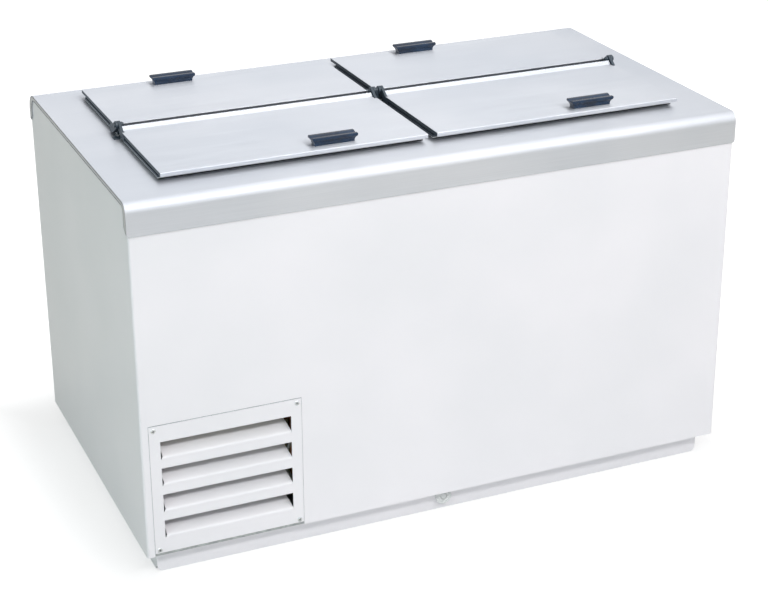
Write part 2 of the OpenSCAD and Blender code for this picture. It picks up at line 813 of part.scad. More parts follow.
module panel_screw_places() {
  for (x = [panel_x0 + screw_in, panel_x0 + panel_w - screw_in], z = [panel_z0 + screw_in, panel_z1 - screw_in])
    translate([x, panel_face, z]) rotate([-90, 0, 0]) children();
}
module panel_mounting_frame() {
  edge = 6;
  low = panel_z0 + louvre_first - edge;
  high = panel_z0 + louvre_first + (louvres - 1) * louvre_pitch + louvre_h + edge + 2;
  x0 = panel_x0 - frame_lap;
  color(steel) difference() {
    translate([x0, inner_front, floor_z]) cube([panel_w + 2 * frame_lap, 2, panel_z1 + frame_lap - floor_z]);
    translate([panel_mid - louvre_w / 2 - edge, inner_front - cut, low])
      cube([louvre_w + 2 * edge, 4, high - low]);
    panel_screw_places() cylinder(r = 2, h = 20);
  }
}
module louvred_panel() {
  color(white_paint) union() {
    difference() {
      translate([panel_x0, panel_face, panel_z0]) cube([panel_w, panel_t, panel_h]);
      for (i = [0 : louvres - 1])
        translate([panel_mid - louvre_w / 2, panel_face - cut, louvre_z(i)])
          cube([louvre_w, panel_t + 2 * cut, louvre_h]);
      panel_screw_places() cylinder(r = 2.2, h = 20, center = true);
    }
    for (i = [0 : louvres - 1]) louvre_blade(louvre_z(i));
  }
}
function louvre_z(i) = panel_z0 + louvre_first + i * louvre_pitch;
// A blade bent in from the lower edge of its opening: a round bend, then a flat. The bend is a hair thicker
// than the sheet, so that the panel and the flat run into it.
module louvre_blade(z) {
  relief = 2;
  extra = 0.05;
  bite = 0.5;
  inner = louvre_bend - extra;
  outer = louvre_bend + panel_t + extra;
  turn = 90 - louvre_angle;
  flat = louvre_h - (louvre_bend + panel_t) * PI * turn / 180;
  length = louvre_w - relief;
  translate([panel_mid - louvre_w / 2 + relief, panel_face + louvre_bend + panel_t, z]) rotate([90, 0, 90]) {
    mirror([1, 0, 0]) rotate_extrude(angle = turn) translate([inner, 0]) square([outer - inner, length]);
    rotate(-turn) translate([-louvre_bend - panel_t, -bite, 0]) cube([panel_t, flat + bite, length]);
  }
  translate([panel_mid - louvre_w / 2 + relief, panel_face, z - cut]) cube([length, panel_t, cut + bite]);
}
module panel_screws() {
  color(steel) {
    panel_screw_places() screw(screw_head_r, top_overhang - panel_proud - 0.1, 1.9, panel_t, 9);
    rear_screw_places() {
      translate([0, 0, -shell_t - foam_gap / 2]) cylinder(r = 1.8, h = shell_t + foam_gap / 2 + back_t + cut);
      translate([0, 0, back_t]) cylinder(r = 4, h = top_overhang - 0.2);
    }
  }
}
// A pan-head screw whose head lies in front of the face and whose shank goes in along +Z
module screw(head_r, head_h, shank_r, grip, length) {
  translate([0, 0, -head_h]) difference() {
    union() {
      cylinder(r1 = head_r - 1, r2 = head_r, h = 1);
      translate([0, 0, 1]) cylinder(r = head_r, h = head_h - 1);
    }
    for (q = [0, 90]) rotate(q) translate([-head_r * 0.6, -0.5, -cut]) cube([head_r * 1.2, 1, cut + 0.9]);
  }
  cylinder(r = shank_r, h = grip + length);
}

// Refrigeration

module compressor_place() {
  translate([panel_mid, comp_y, comp_z]) children();
}
function grommet_spots() = [for (sx = [-1, 1], sy = [-1, 1]) [sx * (comp_r + 16), sy * (comp_r - 15)]];
module compressor() {
  dome = 28;
  plate = 4;
  color("#24272a") compressor_place() {
    difference() {
      linear_extrude(plate) round_rect(2 * (comp_r + 30), 2 * comp_r, 14);
      for (q = grommet_spots()) translate([q[0], q[1], -cut]) cylinder(r = 6.3, h = plate + 2 * cut);
    }
    translate([0, 0, plate]) rotate_extrude() compressor_half(dome, comp_h - plate);
    for (q = stub_spots()) translate([q[0], q[1], comp_h / 2])
      cylinder(r = pipe_r + 1, h = stub_z - comp_z - comp_h / 2);
    translate([comp_r - 6, -22, 70]) cube([24, 44, 60]);
  }
}
function stub_spots() = [[-48, -30], [40, -34]];
// Half section of the can: a straight wall, a weld bead and a domed lid
module compressor_half(dome, h) {
  span(0, 0, comp_r, h - dome);
  span(0, h * 0.55, comp_r + 2.5, h * 0.55 + 7);
  intersection() {
    translate([0, h - dome]) dome_circle(comp_r, dome);
    span(0, h - dome - cut, comp_r + cut, h);
  }
}
// A circle that rises by dome over a chord of half width r
module dome_circle(r, dome) {
  big = (r * r + dome * dome) / (2 * dome);
  translate([0, dome - big]) circle(big, $fn = 96);
}
module compressor_grommets() {
  color(black_rubber) compressor_place() for (q = grommet_spots()) translate([q[0], q[1], -grommet_h]) {
    cylinder(r = 12, h = grommet_h);
    cylinder(r = 6, h = grommet_h + 4);
    translate([0, 0, grommet_h + 4]) cylinder(r = 10, h = 3);
  }
}

function cond_y(i) = cond_front + cond_d * (i + 0.5) / cond_cols;
function cond_tube_z(j) = cond_z0 + cond_h * (j + 0.5) / cond_rows;
module condenser() {
  fins = floor((cond_w - 10) / fin_pitch);
  x0 = panel_mid - cond_w / 2;
  color(steel) {
    for (s = [-1, 1]) translate([panel_mid + s * cond_w / 2 - 1, cond_front, cond_z0])
      cube([2, cond_d, cond_h]);
    for (i = [1 : fins - 1]) translate([x0 + 5 + i * fin_pitch, cond_front + 4, cond_z0 + 6])
      cube([0.8, cond_d - 8, cond_h - 12]);
    for (i = [0 : cond_cols - 1], j = [0 : cond_rows - 1])
      translate([panel_mid - tube_end, cond_y(i), cond_tube_z(j)]) rotate([0, 90, 0])
        cylinder(r = cond_tube_r, h = 2 * tube_end);
    cond_bends();
  }
}
// Return bends that join the tube rows in one run, each seated against two tube ends
module cond_bends() {
  pitch = cond_h / cond_rows;
  end_x = tube_end + seat;
  for (i = [0 : cond_cols - 1], j = [0 : cond_rows - 2]) {
    s = j % 2 == 0 ? -1 : 1;
    translate([panel_mid + s * end_x, cond_y(i), cond_tube_z(j) + pitch / 2])
      rotate([90, 0, 0]) return_bend(s, pitch);
  }
  translate([panel_mid + end_x, cond_front + cond_d / 2, cond_tube_z(0)]) return_bend(1, cond_d / cond_cols);
}
module return_bend(s, pitch) {
  rotate(s > 0 ? -90 : 90) rotate_extrude(angle = 180) translate([pitch / 2, 0]) circle(cond_tube_r);
}

module fan_shroud() {
  r = fan_r + fan_gap;
  y = cond_back;
  color(black_rubber) translate([panel_mid, y, fan_z]) rotate([-90, 0, 0]) difference() {
    union() {
      translate([-shroud_w / 2, -shroud_h / 2, 0]) cube([shroud_w, shroud_h, shroud_t]);
      cylinder(r = r + 4, h = shroud_t + 22);
    }
    translate([0, 0, -cut]) cylinder(r = r, h = 60);
  }
}
// The motor hangs on four flat arms that reach out past the ring and forward to the shroud
module fan_motor() {
  arm_t = 4;
  arm_w = 16;
  arm_r = fan_r + fan_gap + 14;
  reach = motor_y - arm_t - cond_back - shroud_t;
  color("#50565c") translate([panel_mid, motor_y, fan_z]) rotate([-90, 0, 0]) {
    difference() {
      union() {
        cylinder(r = motor_r, h = motor_l);
        translate([0, 0, motor_l]) cylinder(r = motor_r - 12, h = 8);
      }
      translate([0, 0, -cut]) cylinder(r = shaft_r + pin_fit, h = shaft_in + 3 + cut);
    }
    for (a = [0 : 90 : 270]) rotate(a) {
      translate([arm_w, -arm_w / 2, -arm_t]) cube([arm_r - arm_w, arm_w, arm_t]);
      translate([arm_r - arm_t, -arm_w / 2, -arm_t - reach]) cube([arm_t, arm_w, reach]);
    }
  }
}
// Pitched blades cut by a ring round a hub, on a shaft that runs in the motor
module fan_blade() {
  hub_r = 22;
  depth = fan_depth;
  color(light_plastic) translate([panel_mid, fan_y, fan_z]) rotate([-90, 0, 0]) {
    cylinder(r = hub_r, h = depth);
    translate([0, 0, depth - cut]) cylinder(r = shaft_r, h = cut + motor_y - fan_y - depth + shaft_in);
    intersection() {
      translate([0, 0, 1]) cylinder(r = fan_r, h = depth - 2);
      for (i = [0 : blades - 1]) rotate(i * 360 / blades)
        translate([hub_r - 4, 0, depth / 2]) rotate([28, 0, 0])
          translate([0, -34, -1]) cube([fan_r, 68, 2]);
    }
  }
}

module filter_drier() {
  color(copper) translate([drier_x, drier_y, drier_z]) rotate([-90, 0, 0]) rotate_extrude()
    polygon([
      [0, 0], [pipe_r + 1, 0], [pipe_r + 1, 8], [9, 16], [9, drier_l - 16], [4, drier_l - 6], [4, drier_l],
      [0, drier_l]
    ]);
}
module liquid_pipes() {
  z = drier_z;
  turn_y = 40;
  end_x = panel_mid + tube_end;
  port = [end_x + seat, cond_y(1), cond_tube_z(cond_rows - 1)];
  liquid = [port, [drier_x, port.y, port.z], [drier_x, port.y, z], [drier_x, drier_y - seat, z]];
  capillary = [
    [drier_x, drier_y + drier_l + seat, z], [drier_x, turn_y, z], [drier_x, turn_y, riser_end - 12],
    [-riser_x - riser_step, turn_y, riser_end - 12], [-riser_x - riser_step, capillary_y, riser_end - 12],
    [-riser_x - riser_step, capillary_y, riser_end - seat]
  ];
  color(copper) {
    tube(rounded(liquid, 10, 4), pipe_r, 8);
    tube(rounded(capillary, 8, 4), capillary_r, 8);
  }
}
module discharge_pipe() {
  start = [panel_mid + stub_spots()[1][0], comp_y + stub_spots()[1][1], stub_z + seat];
  high = bay_z1 - 44;
  end = [panel_mid + tube_end + seat, cond_y(0), cond_tube_z(cond_rows - 1)];
  path = [
    start, [start.x, start.y, high], [line_x, start.y, high], [line_x, end.y, high],
    [line_x, end.y, end.z], end
  ];
  color(copper) tube(rounded(path, 9, 4), pipe_r, 8);
}
module suction_pipe() {
  start = [-riser_x, suction_y, riser_end - seat];
  end = [panel_mid + stub_spots()[0][0], comp_y + stub_spots()[0][1], stub_z + seat];
  mid = (start.z + end.z) / 2;
  path = [start, [start.x, start.y, mid], [end.x, end.y, mid], end];
  color(copper) tube(rounded(path, 12, 4), pipe_r, 8);
}

// Controls

module thermostat_body() {
  color(black_rubber) thermostat_place() difference() {
    union() {
      translate([0, 0, back_t]) cylinder(r = cup_r + 4, h = top_overhang - 0.3);
      translate([0, 0, -recess - 2]) cylinder(r = cup_r, h = recess + 2 + back_t + cut);
      translate([-28, -20, -recess - 36]) cube([56, 40, 35]);
    }
    translate([0, 0, -recess]) cylinder(r = knob_r + 3, h = recess + 10);
    translate([0, 0, -recess - 14]) cylinder(r = shaft_r + pin_fit, h = 14 + cut);
  }
}
module thermostat_knob() {
  grip_h = 7;
  disc_h = recess - grip_h - 1;
  color(black_rubber) thermostat_place() translate([0, 0, seat - recess]) difference() {
    union() {
      translate([0, 0, -12]) cylinder(r = shaft_r, h = 12 + cut);
      cylinder(r1 = knob_r, r2 = knob_r - 2, h = disc_h);
      translate([0, 0, disc_h - cut]) intersection() {
        cylinder(r = knob_r - 2, h = grip_h + cut);
        translate([-4, -knob_r, 0]) cube([8, 2 * knob_r, grip_h + cut]);
      }
    }
    translate([-0.6, knob_r - 9, disc_h + grip_h - 1]) cube([1.2, 10, 2]);
  }
}
module electrical_box() {
  color(light_plastic) translate([panel_mid - 145, shell_rear - 44, bay_z1 - 130]) difference() {
    cube([76, 44, 96]);
    for (x = [20, 56]) translate([x, 20, -cut]) cylinder(r = 6, h = 8);
  }
}
module cable_gland() {
  color(black_rubber) gland_place() difference() {
    union() {
      translate([0, 0, -gland_l]) cylinder(r = gland_r + 7, h = gland_l, $fn = 6);
      translate([0, 0, -cut]) cylinder(r = gland_r + 3.3, h = cut + back_t + 1);
      translate([0, 0, back_t]) cylinder(r = gland_r + 7, h = top_overhang - 0.3);
    }
    translate([0, 0, -gland_l - cut]) cylinder(r = gland_r, h = gland_l + 10);
  }
}

// Hinges

// Axis through the hinge line, with Z of the child along +X
module on_hinge_line(x) {
  translate([x, hinge_y, worktop_z + hinge_w]) rotate([0, 90, 0]) children();
}
module bracket_screw_places(r) {
  for (s = [-1, 1]) {
    for (x = [lid_out + bracket_screws_out[0], lid_out + bracket_screws_out[1], bracket_screw_mid])
      translate([s * x, hinge_y, worktop_z - 14]) cylinder(r = r, h = 14 + foot_t + 0.5);
  }
}
// An upright ear that narrows towards its round eye, from x0 to x1
module ear(x0, x1) {
  across(x0, x1) translate([hinge_y, worktop_z]) union() {
    translate([0, hinge_w]) circle(ear_r);
    polygon([
      [-foot_half, 0], [foot_half, 0], [foot_half, foot_t], [ear_r - 0.2, hinge_w],
      [0.2 - ear_r, hinge_w], [-foot_half, foot_t]
    ]);
  }
}
module side_bracket(s) {
  x0 = lid_out + ear_in;
  x1 = lid_out + 12;
  color(dark_plastic) difference() {
    union() {
      to_side(s) ear(x0, lid_out + ear_out);
      to_side(s) translate([x0, hinge_y - foot_half, worktop_z]) cube([x1 - x0, 2 * foot_half, foot_t]);
    }
    on_hinge_line(-half_w) cylinder(r = pin_hole, h = overall_w);
    bracket_screw_places(bracket_screw_r + 0.2);
  }
}
module left_hinge_bracket() {
  side_bracket(-1);
}
module right_hinge_bracket() {
  side_bracket(1);
}
module middle_hinge_bracket() {
  half = open_in - 2;
  color(dark_plastic) difference() {
    union() {
      ear(-mid_ear_half, mid_ear_half);
      translate([-half, hinge_y - foot_half, worktop_z]) cube([2 * half, 2 * foot_half, foot_t]);
    }
    on_hinge_line(-half_w) cylinder(r = pin_hole, h = overall_w);
    bracket_screw_places(bracket_screw_r + 0.2);
  }
}
module hinge_pins() {
  inner = lid_out + ear_in - seat;
  outer = lid_out + rear_eye_out + seat;
  mid = lid_in + eye_t + 0.3;
  color(steel) {
    for (s = [-1, 1]) to_side(s) {
      on_hinge_line(inner - 1) cylinder(r = pin_r, h = outer - inner + 2);
      on_hinge_line(inner - 1.5) cylinder(r = pin_r + 1.5, h = 1.5);
      on_hinge_line(outer) cylinder(r = pin_r + 2, h = 2.5);
      on_hinge_line(mid - 1) cylinder(r = pin_r + 1.5, h = 1);
    }
    on_hinge_line(-mid) cylinder(r = pin_r, h = 2 * mid);
  }
}
// Keeps or mirrors its child across the middle of the cabinet
module to_side(s) {
  mirror([s < 0 ? 1 : 0, 0, 0]) children();
}
module bracket_screws() {
  color(steel) for (s = [-1, 1]) {
    for (q = bracket_screws_out) bracket_screw(s * (lid_out + q));
    bracket_screw(s * bracket_screw_mid);
  }
}
module bracket_screw(x) {
  translate([x, hinge_y, worktop_z + foot_t]) mirror([0, 0, 1])
    screw(3.5, 2.4, bracket_screw_r - 0.1, foot_t, 9);
}

// Lids. They are drawn at their place across the cabinet, with Y as the distance from the hinge line
// and Z as the height above the worktop, and the front ones are mirrored to the front.

function lid_x0(left) = left ? -lid_out : lid_in;
function lid_x1(left) = left ? -lid_in : lid_out;
module place_lid(front) {
  translate([0, hinge_y, worktop_z]) mirror([0, front ? 1 : 0, 0]) children();
}

module lid_skin(front, left) {
  x0 = lid_x0(left);
  x1 = lid_x1(left);
  notch = eye_t - front_eye_out + arm_clear;
  color(stainless) place_lid(front) difference() {
    across(x0, x1) skin_section();
    for (x = [x0 - cut, x1 - notch]) translate([x, 0, skin_under - cut])
      cube([notch + cut, crease_u + 12, 20]);
    handle_studs(front, left, stud_r + 0.2);
  }
}
// Section of the skin: a rear lip folded up at 45 degrees, the flat and a front edge folded down
module skin_section() {
  side = skin_t / sqrt(2);
  lip = crease_u - tip_u;
  r = 2 * skin_t;
  union() {
    span(crease_u - skin_t / 2, skin_under, skin_front - r, lid_top);
    span(skin_front - skin_t, lid_top - skin_fold, skin_front, lid_top - r);
    translate([skin_front - r, lid_top - r]) intersection() {
      difference() {
        circle(r);
        circle(r - skin_t);
      }
      span(0, 0, r, r);
    }
    polygon([
      [crease_u, lid_top], [tip_u, lid_top + lip], [tip_u - side, lid_top + lip - side],
      [crease_u - skin_t * tan(22.5), skin_under], [crease_u, skin_under]
    ]);
  }
}

// Moulded frame: a grooved ring, two wings under the skin's overhang, and the arms with their eyes
module lid_frame(front, left) {
  x0 = lid_x0(left);
  x1 = lid_x1(left);
  groove_z = frame_under + lower_rib;
  groove_top = skin_under - upper_rib;
  color(dark_plastic) place_lid(front) difference() {
    union() {
      difference() {
        translate([x0, frame_u, frame_under]) cube([x1 - x0, frame_front - frame_u, skin_under - frame_under]);
        translate([x0 + frame_wall, frame_u + frame_wall, -cut])
          cube([x1 - x0 - 2 * frame_wall, frame_front - frame_u - 2 * frame_wall, 3 * lid_top]);
        difference() {
          translate([x0 - cut, frame_u + groove, groove_z])
            cube([x1 - x0 + 2 * cut, frame_front, groove_top - groove_z]);
          translate([x0 + groove, frame_u, groove_z - cut])
            cube([x1 - x0 - 2 * groove, frame_front - frame_u - groove, lid_top]);
        }
      }
      for (x = [x0, x1 - wing_w]) translate([x, frame_front - cut, groove_top])
        cube([wing_w, skin_overhang + cut - 2 * skin_t, upper_rib]);
      lid_arm(front, x0, -1);
      lid_arm(front, x1, 1);
    }
    translate([-half_w, 0, hinge_w]) rotate([0, 90, 0]) cylinder(r = pin_hole, h = overall_w);
    handle_studs(front, left, stud_r + 0.1);
  }
}
// One arm at a side edge, where s points outward. Front lids carry the inner eye and rear lids the outer one.
module lid_arm(front, edge, s) {
  near = front ? -(eye_t - front_eye_out) : rear_eye_in;
  far = front ? front_eye_out : rear_eye_out;
  a = edge + s * near;
  b = edge + s * far;
  root = edge - s * (eye_t - front_eye_out);
  across(min(a, b), max(a, b)) arm_outline();
  if (!front) translate([min(root, b), 24, frame_under + 0.7])
    cube([abs(b - root), 16, skin_under - frame_under - 0.9]);
}
// Side view of an arm: the round eye and a web that runs down to the frame
module arm_outline() {
  low = frame_under + 0.7;
  top = skin_under - 0.2;
  union() {
    translate([0, hinge_w]) circle(eye_r);
    polygon([
      [eye_r * sin(35), hinge_w + eye_r * cos(35)], [27, top], [40, top], [40, low], [24, low],
      [-eye_r * sin(30), hinge_w - eye_r * cos(30)]
    ]);
  }
}

module lid_core(front, left) {
  gap = foam_gap;
  x0 = lid_x0(left) + frame_wall + gap;
  x1 = lid_x1(left) - frame_wall - gap;
  y0 = frame_u + frame_wall + gap;
  color(foam) place_lid(front) translate([x0, y0, frame_under])
    cube([x1 - x0, frame_front - frame_wall - gap - y0, skin_under - frame_under]);
}
module lid_pan(front, left) {
  x0 = lid_x0(left) + 1;
  x1 = lid_x1(left) - 1;
  color(light_plastic) place_lid(front) translate([x0, frame_u + 1, gasket_top])
    cube([x1 - x0, frame_front - frame_u - 2, pan_t]);
}
module lid_gasket(front, left) {
  x0 = lid_x0(left) + 1;
  x1 = lid_x1(left) - 1;
  y0 = frame_u + 0.5;
  y1 = frame_front - 1;
  color(black_rubber) place_lid(front) translate([0, 0, gasket_gap]) linear_extrude(gasket_t) difference() {
    span(x0, y0, x1, y1);
    span(x0 + gasket_w, y0 + gasket_w - 1, x1 - gasket_w, y1 - gasket_w);
  }
}

function handle_x(front, left) =
  (lid_x0(left) + lid_x1(left)) / 2 + (front ? handle_shift : -rear_handle_shift);
function handle_mid(front) = skin_front - (front ? handle_back : rear_handle_back);
// The studs stand under the handle as far as the frame's wall allows
function stud_mid(front) =
  max(frame_front - frame_wall + stud_r + 1, min(frame_front - stud_r - 1, handle_mid(front)));
module handle_studs(front, left, r) {
  x = handle_x(front, left);
  for (s = [-1, 1]) translate([x + s * stud_x, stud_mid(front), skin_under - stud_depth])
    cylinder(r = r, h = stud_depth + skin_t + 0.5);
}
// A flared pull: its side view and its end view, cut by each other, on two studs
module lid_handle(front, left) {
  color(navy_plastic) place_lid(front) {
    translate([handle_x(front, left), handle_mid(front), lid_top]) intersection() {
      across(-handle_top / 2, handle_top / 2) handle_end();
      translate([0, handle_top_d, 0]) rotate([90, 0, 0]) linear_extrude(2 * handle_top_d) handle_side();
    }
    intersection() {
      handle_studs(front, left, stud_r);
      translate([-half_w, 0, 0]) cube([overall_w, overall_d, lid_top + 0.4]);
    }
  }
}
module handle_side() {
  f = handle_foot / 2;
  t = handle_top / 2;
  lip = 3;
  union() {
    polygon([
      [-f, 0], [f, 0], [f + 0.6, handle_h * 0.35], [t, handle_h - lip - 2], [t, handle_h - lip],
      [t - lip, handle_h], [lip - t, handle_h],
      [-t, handle_h - lip], [-t, handle_h - lip - 2], [-f - 0.6, handle_h * 0.35]
    ]);
    for (s = [-1, 1]) translate([s * (t - lip), handle_h - lip]) circle(lip);
  }
}
module handle_end() {
  f = handle_foot_d / 2;
  t = handle_top_d / 2;
  lip = 2.5;
  groove_r = 9;
  groove_depth = 3.2;
  difference() {
    union() {
      polygon([
        [-f, 0], [f, 0], [f + 0.5, handle_h * 0.4], [t, handle_h - 2 * lip], [t, handle_h - lip],
        [t - lip, handle_h], [lip - t, handle_h],
        [-t, handle_h - lip], [-t, handle_h - 2 * lip], [-f - 0.5, handle_h * 0.4]
      ]);
      for (s = [-1, 1]) translate([s * (t - lip), handle_h - lip]) circle(lip);
    }
    translate([0, handle_h + groove_r - groove_depth]) circle(groove_r);
  }
}

plinth_frame();
drain_cap();
drain_pipe();
base_pan();
outer_shell();
rear_panel();
insulation();
tank_liner();
evaporator_coil();
worktop();
left_well_collar();
right_well_collar();
left_hinge_rail();
right_hinge_rail();
left_hinge_bracket();
middle_hinge_bracket();
right_hinge_bracket();
hinge_pins();
bracket_screws();
panel_mounting_frame();
louvred_panel();
panel_screws();
compressor();
compressor_grommets();
condenser();
fan_shroud();
fan_motor();
fan_blade();
filter_drier();
discharge_pipe();
liquid_pipes();
suction_pipe();
thermostat_body();
thermostat_knob();
electrical_box();
cable_gland();
lid_skin(true, true);  // front_left_skin
lid_frame(true, true);  // front_left_frame
lid_core(true, true);  // front_left_core
lid_pan(true, true);  // front_left_pan
lid_gasket(true, true);  // front_left_gasket
lid_handle(true, true);  // front_left_handle
lid_skin(true, false);  // front_right_skin
lid_frame(true, false);  // front_right_frame
lid_core(true, false);  // front_right_core
lid_pan(true, false);  // front_right_pan
lid_gasket(true, false);  // front_right_gasket
lid_handle(true, false);  // front_right_handle
lid_skin(false, true);  // rear_left_skin
lid_frame(false, true);  // rear_left_frame
lid_core(false, true);  // rear_left_core
lid_pan(false, true);  // rear_left_pan
lid_gasket(false, true);  // rear_left_gasket
lid_handle(false, true);  // rear_left_handle
lid_skin(false, false);  // rear_right_skin
lid_frame(false, false);  // rear_right_frame
lid_core(false, false);  // rear_right_core
lid_pan(false, false);  // rear_right_pan
lid_gasket(false, false);  // rear_right_gasket
lid_handle(false, false);  // rear_right_handle
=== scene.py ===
"""Looks of a low ice cream freezer: its finishes, its moulded and small fittings, and the studio round it."""
import json
import logging
import math
from collections.abc import Callable, Iterable
from dataclasses import dataclass
from enum import Enum

import bmesh
import bpy
from mathutils import Matrix, Vector


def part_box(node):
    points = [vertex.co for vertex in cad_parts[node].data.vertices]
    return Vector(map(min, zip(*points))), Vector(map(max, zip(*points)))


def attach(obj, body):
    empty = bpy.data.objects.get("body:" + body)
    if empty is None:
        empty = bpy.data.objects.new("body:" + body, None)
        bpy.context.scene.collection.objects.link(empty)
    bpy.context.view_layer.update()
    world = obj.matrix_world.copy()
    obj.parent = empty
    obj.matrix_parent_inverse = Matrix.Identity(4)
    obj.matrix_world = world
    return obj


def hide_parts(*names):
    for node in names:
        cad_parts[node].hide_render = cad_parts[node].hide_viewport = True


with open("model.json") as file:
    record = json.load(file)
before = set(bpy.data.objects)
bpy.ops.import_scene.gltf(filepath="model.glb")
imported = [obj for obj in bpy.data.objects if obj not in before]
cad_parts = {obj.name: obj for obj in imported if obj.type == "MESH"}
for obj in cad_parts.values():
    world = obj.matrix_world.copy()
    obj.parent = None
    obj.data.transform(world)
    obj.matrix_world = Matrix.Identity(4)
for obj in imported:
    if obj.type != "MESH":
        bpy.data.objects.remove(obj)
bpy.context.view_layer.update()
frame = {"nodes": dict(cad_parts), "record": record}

LOG = logging.getLogger("freezer")
MM = 0.001
# Points nearer than this are one point
SAME_POINT = 0.01 * MM
# A normal's share of an axis above which its face points along the axis, and above which it does so squarely
FACING, SQUARE = 0.9, 0.9999
# The sRGB standard's curve: the end and slope of its straight foot, then the offset and power of the rest
FOOT_END, FOOT_SLOPE, CURVE_OFFSET, CURVE_POWER = 0.04045, 12.92, 0.055, 2.4
LIDS = ("front_left", "front_right", "rear_left", "rear_right")
# Middle of each panel screw across and up in millimetres, with -1 for the front and 1 for the back
FRONT_SCREWS = tuple((x, z, -1) for x in (-622.0, -328.0) for z in (64.0, 327.0))
REAR_SCREWS = tuple((x, z, 1) for x in (-638.0, 638.0) for z in (90.0, 290.0, 490.0, 690.0))
Colour = tuple[float, float, float, float]
Place = tuple[float, float, float]
Steps = tuple[tuple[float, float], ...]


# Nodes and colours


def linear(code: str) -> Colour:
    """Turns an sRGB hex colour into the linear colour that the shaders take.

    Args:
        code: Six hex digits after a hash sign.

    Returns:
        Red, green, blue and an alpha of 1.
    """
    parts = [int(code[i:i + 2], 16) / 255 for i in (1, 3, 5)]
    red, green, blue = (c / FOOT_SLOPE if c <= FOOT_END else
                        ((c + CURVE_OFFSET) / (1 + CURVE_OFFSET)) ** CURVE_POWER for c in parts)
    return red, green, blue, 1.0


def add(tree: bpy.types.NodeTree, kind: str, inputs: dict | None = None, stops: Iterable | None = None,
        **settings: object) -> bpy.types.Node:
    """Adds one shader node with its settings, values and links.

    Args:
        tree: The node tree that takes the node.
        kind: The node's type without its ShaderNode prefix.
        inputs: Sockets by name or number, each with a value or with the output that feeds it.
        stops: Places and colours of a colour ramp.
        settings: Properties of the node.

    Returns:
        The new node.
    """
    node = tree.nodes.new("ShaderNode" + kind)
    for name, value in settings.items():
        setattr(node, name, value)
    for key, value in (inputs or {}).items():
        if isinstance(value, bpy.types.NodeSocket):
            tree.links.new(value, node.inputs[key])
        else:
            node.inputs[key].default_value = value
    if stops:
        ramp = node.color_ramp.elements
        while len(ramp) < len(stops):
            ramp.new(1.0)
        for element, (position, colour) in zip(ramp, stops):
            element.position = position
            element.color = colour
    return node


def per_metre(size_mm: float) -> float:
    """Scale of a noise texture on object coordinates whose features are size_mm wide."""
    return 1000.0 / size_mm


def grey(level: float) -> Colour:
    """A linear grey."""
    return level, level, level, 1.0


# Finishes


@dataclass(frozen=True)
class Finish:
    """One surface finish, with what all of them share.

    Attributes:
        name: What the material really is and how its surface was made.
        colour: Main sRGB colour.
        shade: Second sRGB colour, to which the main one drifts.
        drift_mm: Width of the patches of that drift.
        roughness: Roughness of the shader.
        metallic: Metallic value of the shader.
        ior: Refractive index, left at the shader's default on metals.
        uneven: How much smoother and how much rougher than its roughness it is in places.
        relief: Strength of its relief.
        relief_mm: Height of its relief.
    """

    name: str
    colour: str
    shade: str
    drift_mm: float = 300.0
    roughness: float = 0.4
    metallic: float = 0.0
    ior: float = 1.5
    uneven: tuple[float, float] = (0.08, 0.1)
    relief: float = 0.1
    relief_mm: float = 0.2

    def make(self) -> bpy.types.Material:
        """Builds the material.

        Returns:
            The finished material.
        """
        material = bpy.data.materials.new(self.name)
        material.use_nodes = True
        tree = material.node_tree
        tree.nodes.clear()
        place = add(tree, "TexCoord").outputs["Object"]
        shader = add(tree, "BsdfPrincipled", {"Roughness": self.roughness, "Metallic": self.metallic,
                                              "IOR": self.ior})
        add(tree, "OutputMaterial", {"Surface": shader.outputs[0]})
        self.pattern(tree, place, shader)
        material.diffuse_color = linear(self.colour)
        return material

    def pattern(self, tree: bpy.types.NodeTree, place: bpy.types.NodeSocket, shader: bpy.types.Node) -> None:
        """Gives the shader its pattern. Each finish has its own.

        Args:
            tree: The material's node tree.
            place: Object coordinates in metres.
            shader: The principled shader.
        """
        raise NotImplementedError

    def drift(self, tree: bpy.types.NodeTree, place: bpy.types.NodeSocket, low: float = 0.35,
              high: float = 0.65) -> bpy.types.NodeSocket:
        """Colour that drifts slowly between the finish's two colours.

        Args:
            tree: The material's node tree.
            place: Coordinates in metres.
            low: Noise level at which the second colour starts.
            high: Noise level at which it is full.

        Returns:
            The colour output.
        """
        cloud = add(tree, "TexNoise", {"Vector": place, "Scale": per_metre(self.drift_mm), "Detail": 2.0})
        stops = ((low, linear(self.colour)), (high, linear(self.shade)))
        return add(tree, "ValToRGB", {"Fac": cloud.outputs["Fac"]}, stops=stops).outputs["Color"]

    def texture(self, tree: bpy.types.NodeTree, shader: bpy.types.Node, gloss: bpy.types.NodeSocket | None,
                height: bpy.types.NodeSocket | None, span: tuple[float, float] = (0.0, 1.0),
                invert: bool = False) -> bpy.types.NodeSocket | None:
        """Makes the gloss uneven after one pattern and raises the relief after another.

        Args:
            tree: The material's node tree.
            shader: The principled shader.
            gloss: Pattern of the gloss, or None where it is even.
            height: Pattern of the relief, or None where it is flat.
            span: Lowest and highest level of the gloss's pattern.
            invert: Whether the relief is pressed in instead of raised.

        Returns:
            The relief's normal, or None.
        """
        if gloss is not None:
            spread = add(tree, "MapRange", {"Value": gloss, "From Min": span[0], "From Max": span[1],
                                            "To Min": self.roughness - self.uneven[0],
                                            "To Max": self.roughness + self.uneven[1]})
            tree.links.new(spread.outputs["Result"], shader.inputs["Roughness"])
        if height is None:
            return None
        bump = add(tree, "Bump", {"Height": height, "Strength": self.relief,
                                  "Distance": self.relief_mm * MM}, invert=invert)
        tree.links.new(bump.outputs["Normal"], shader.inputs["Normal"])
        return bump.outputs["Normal"]


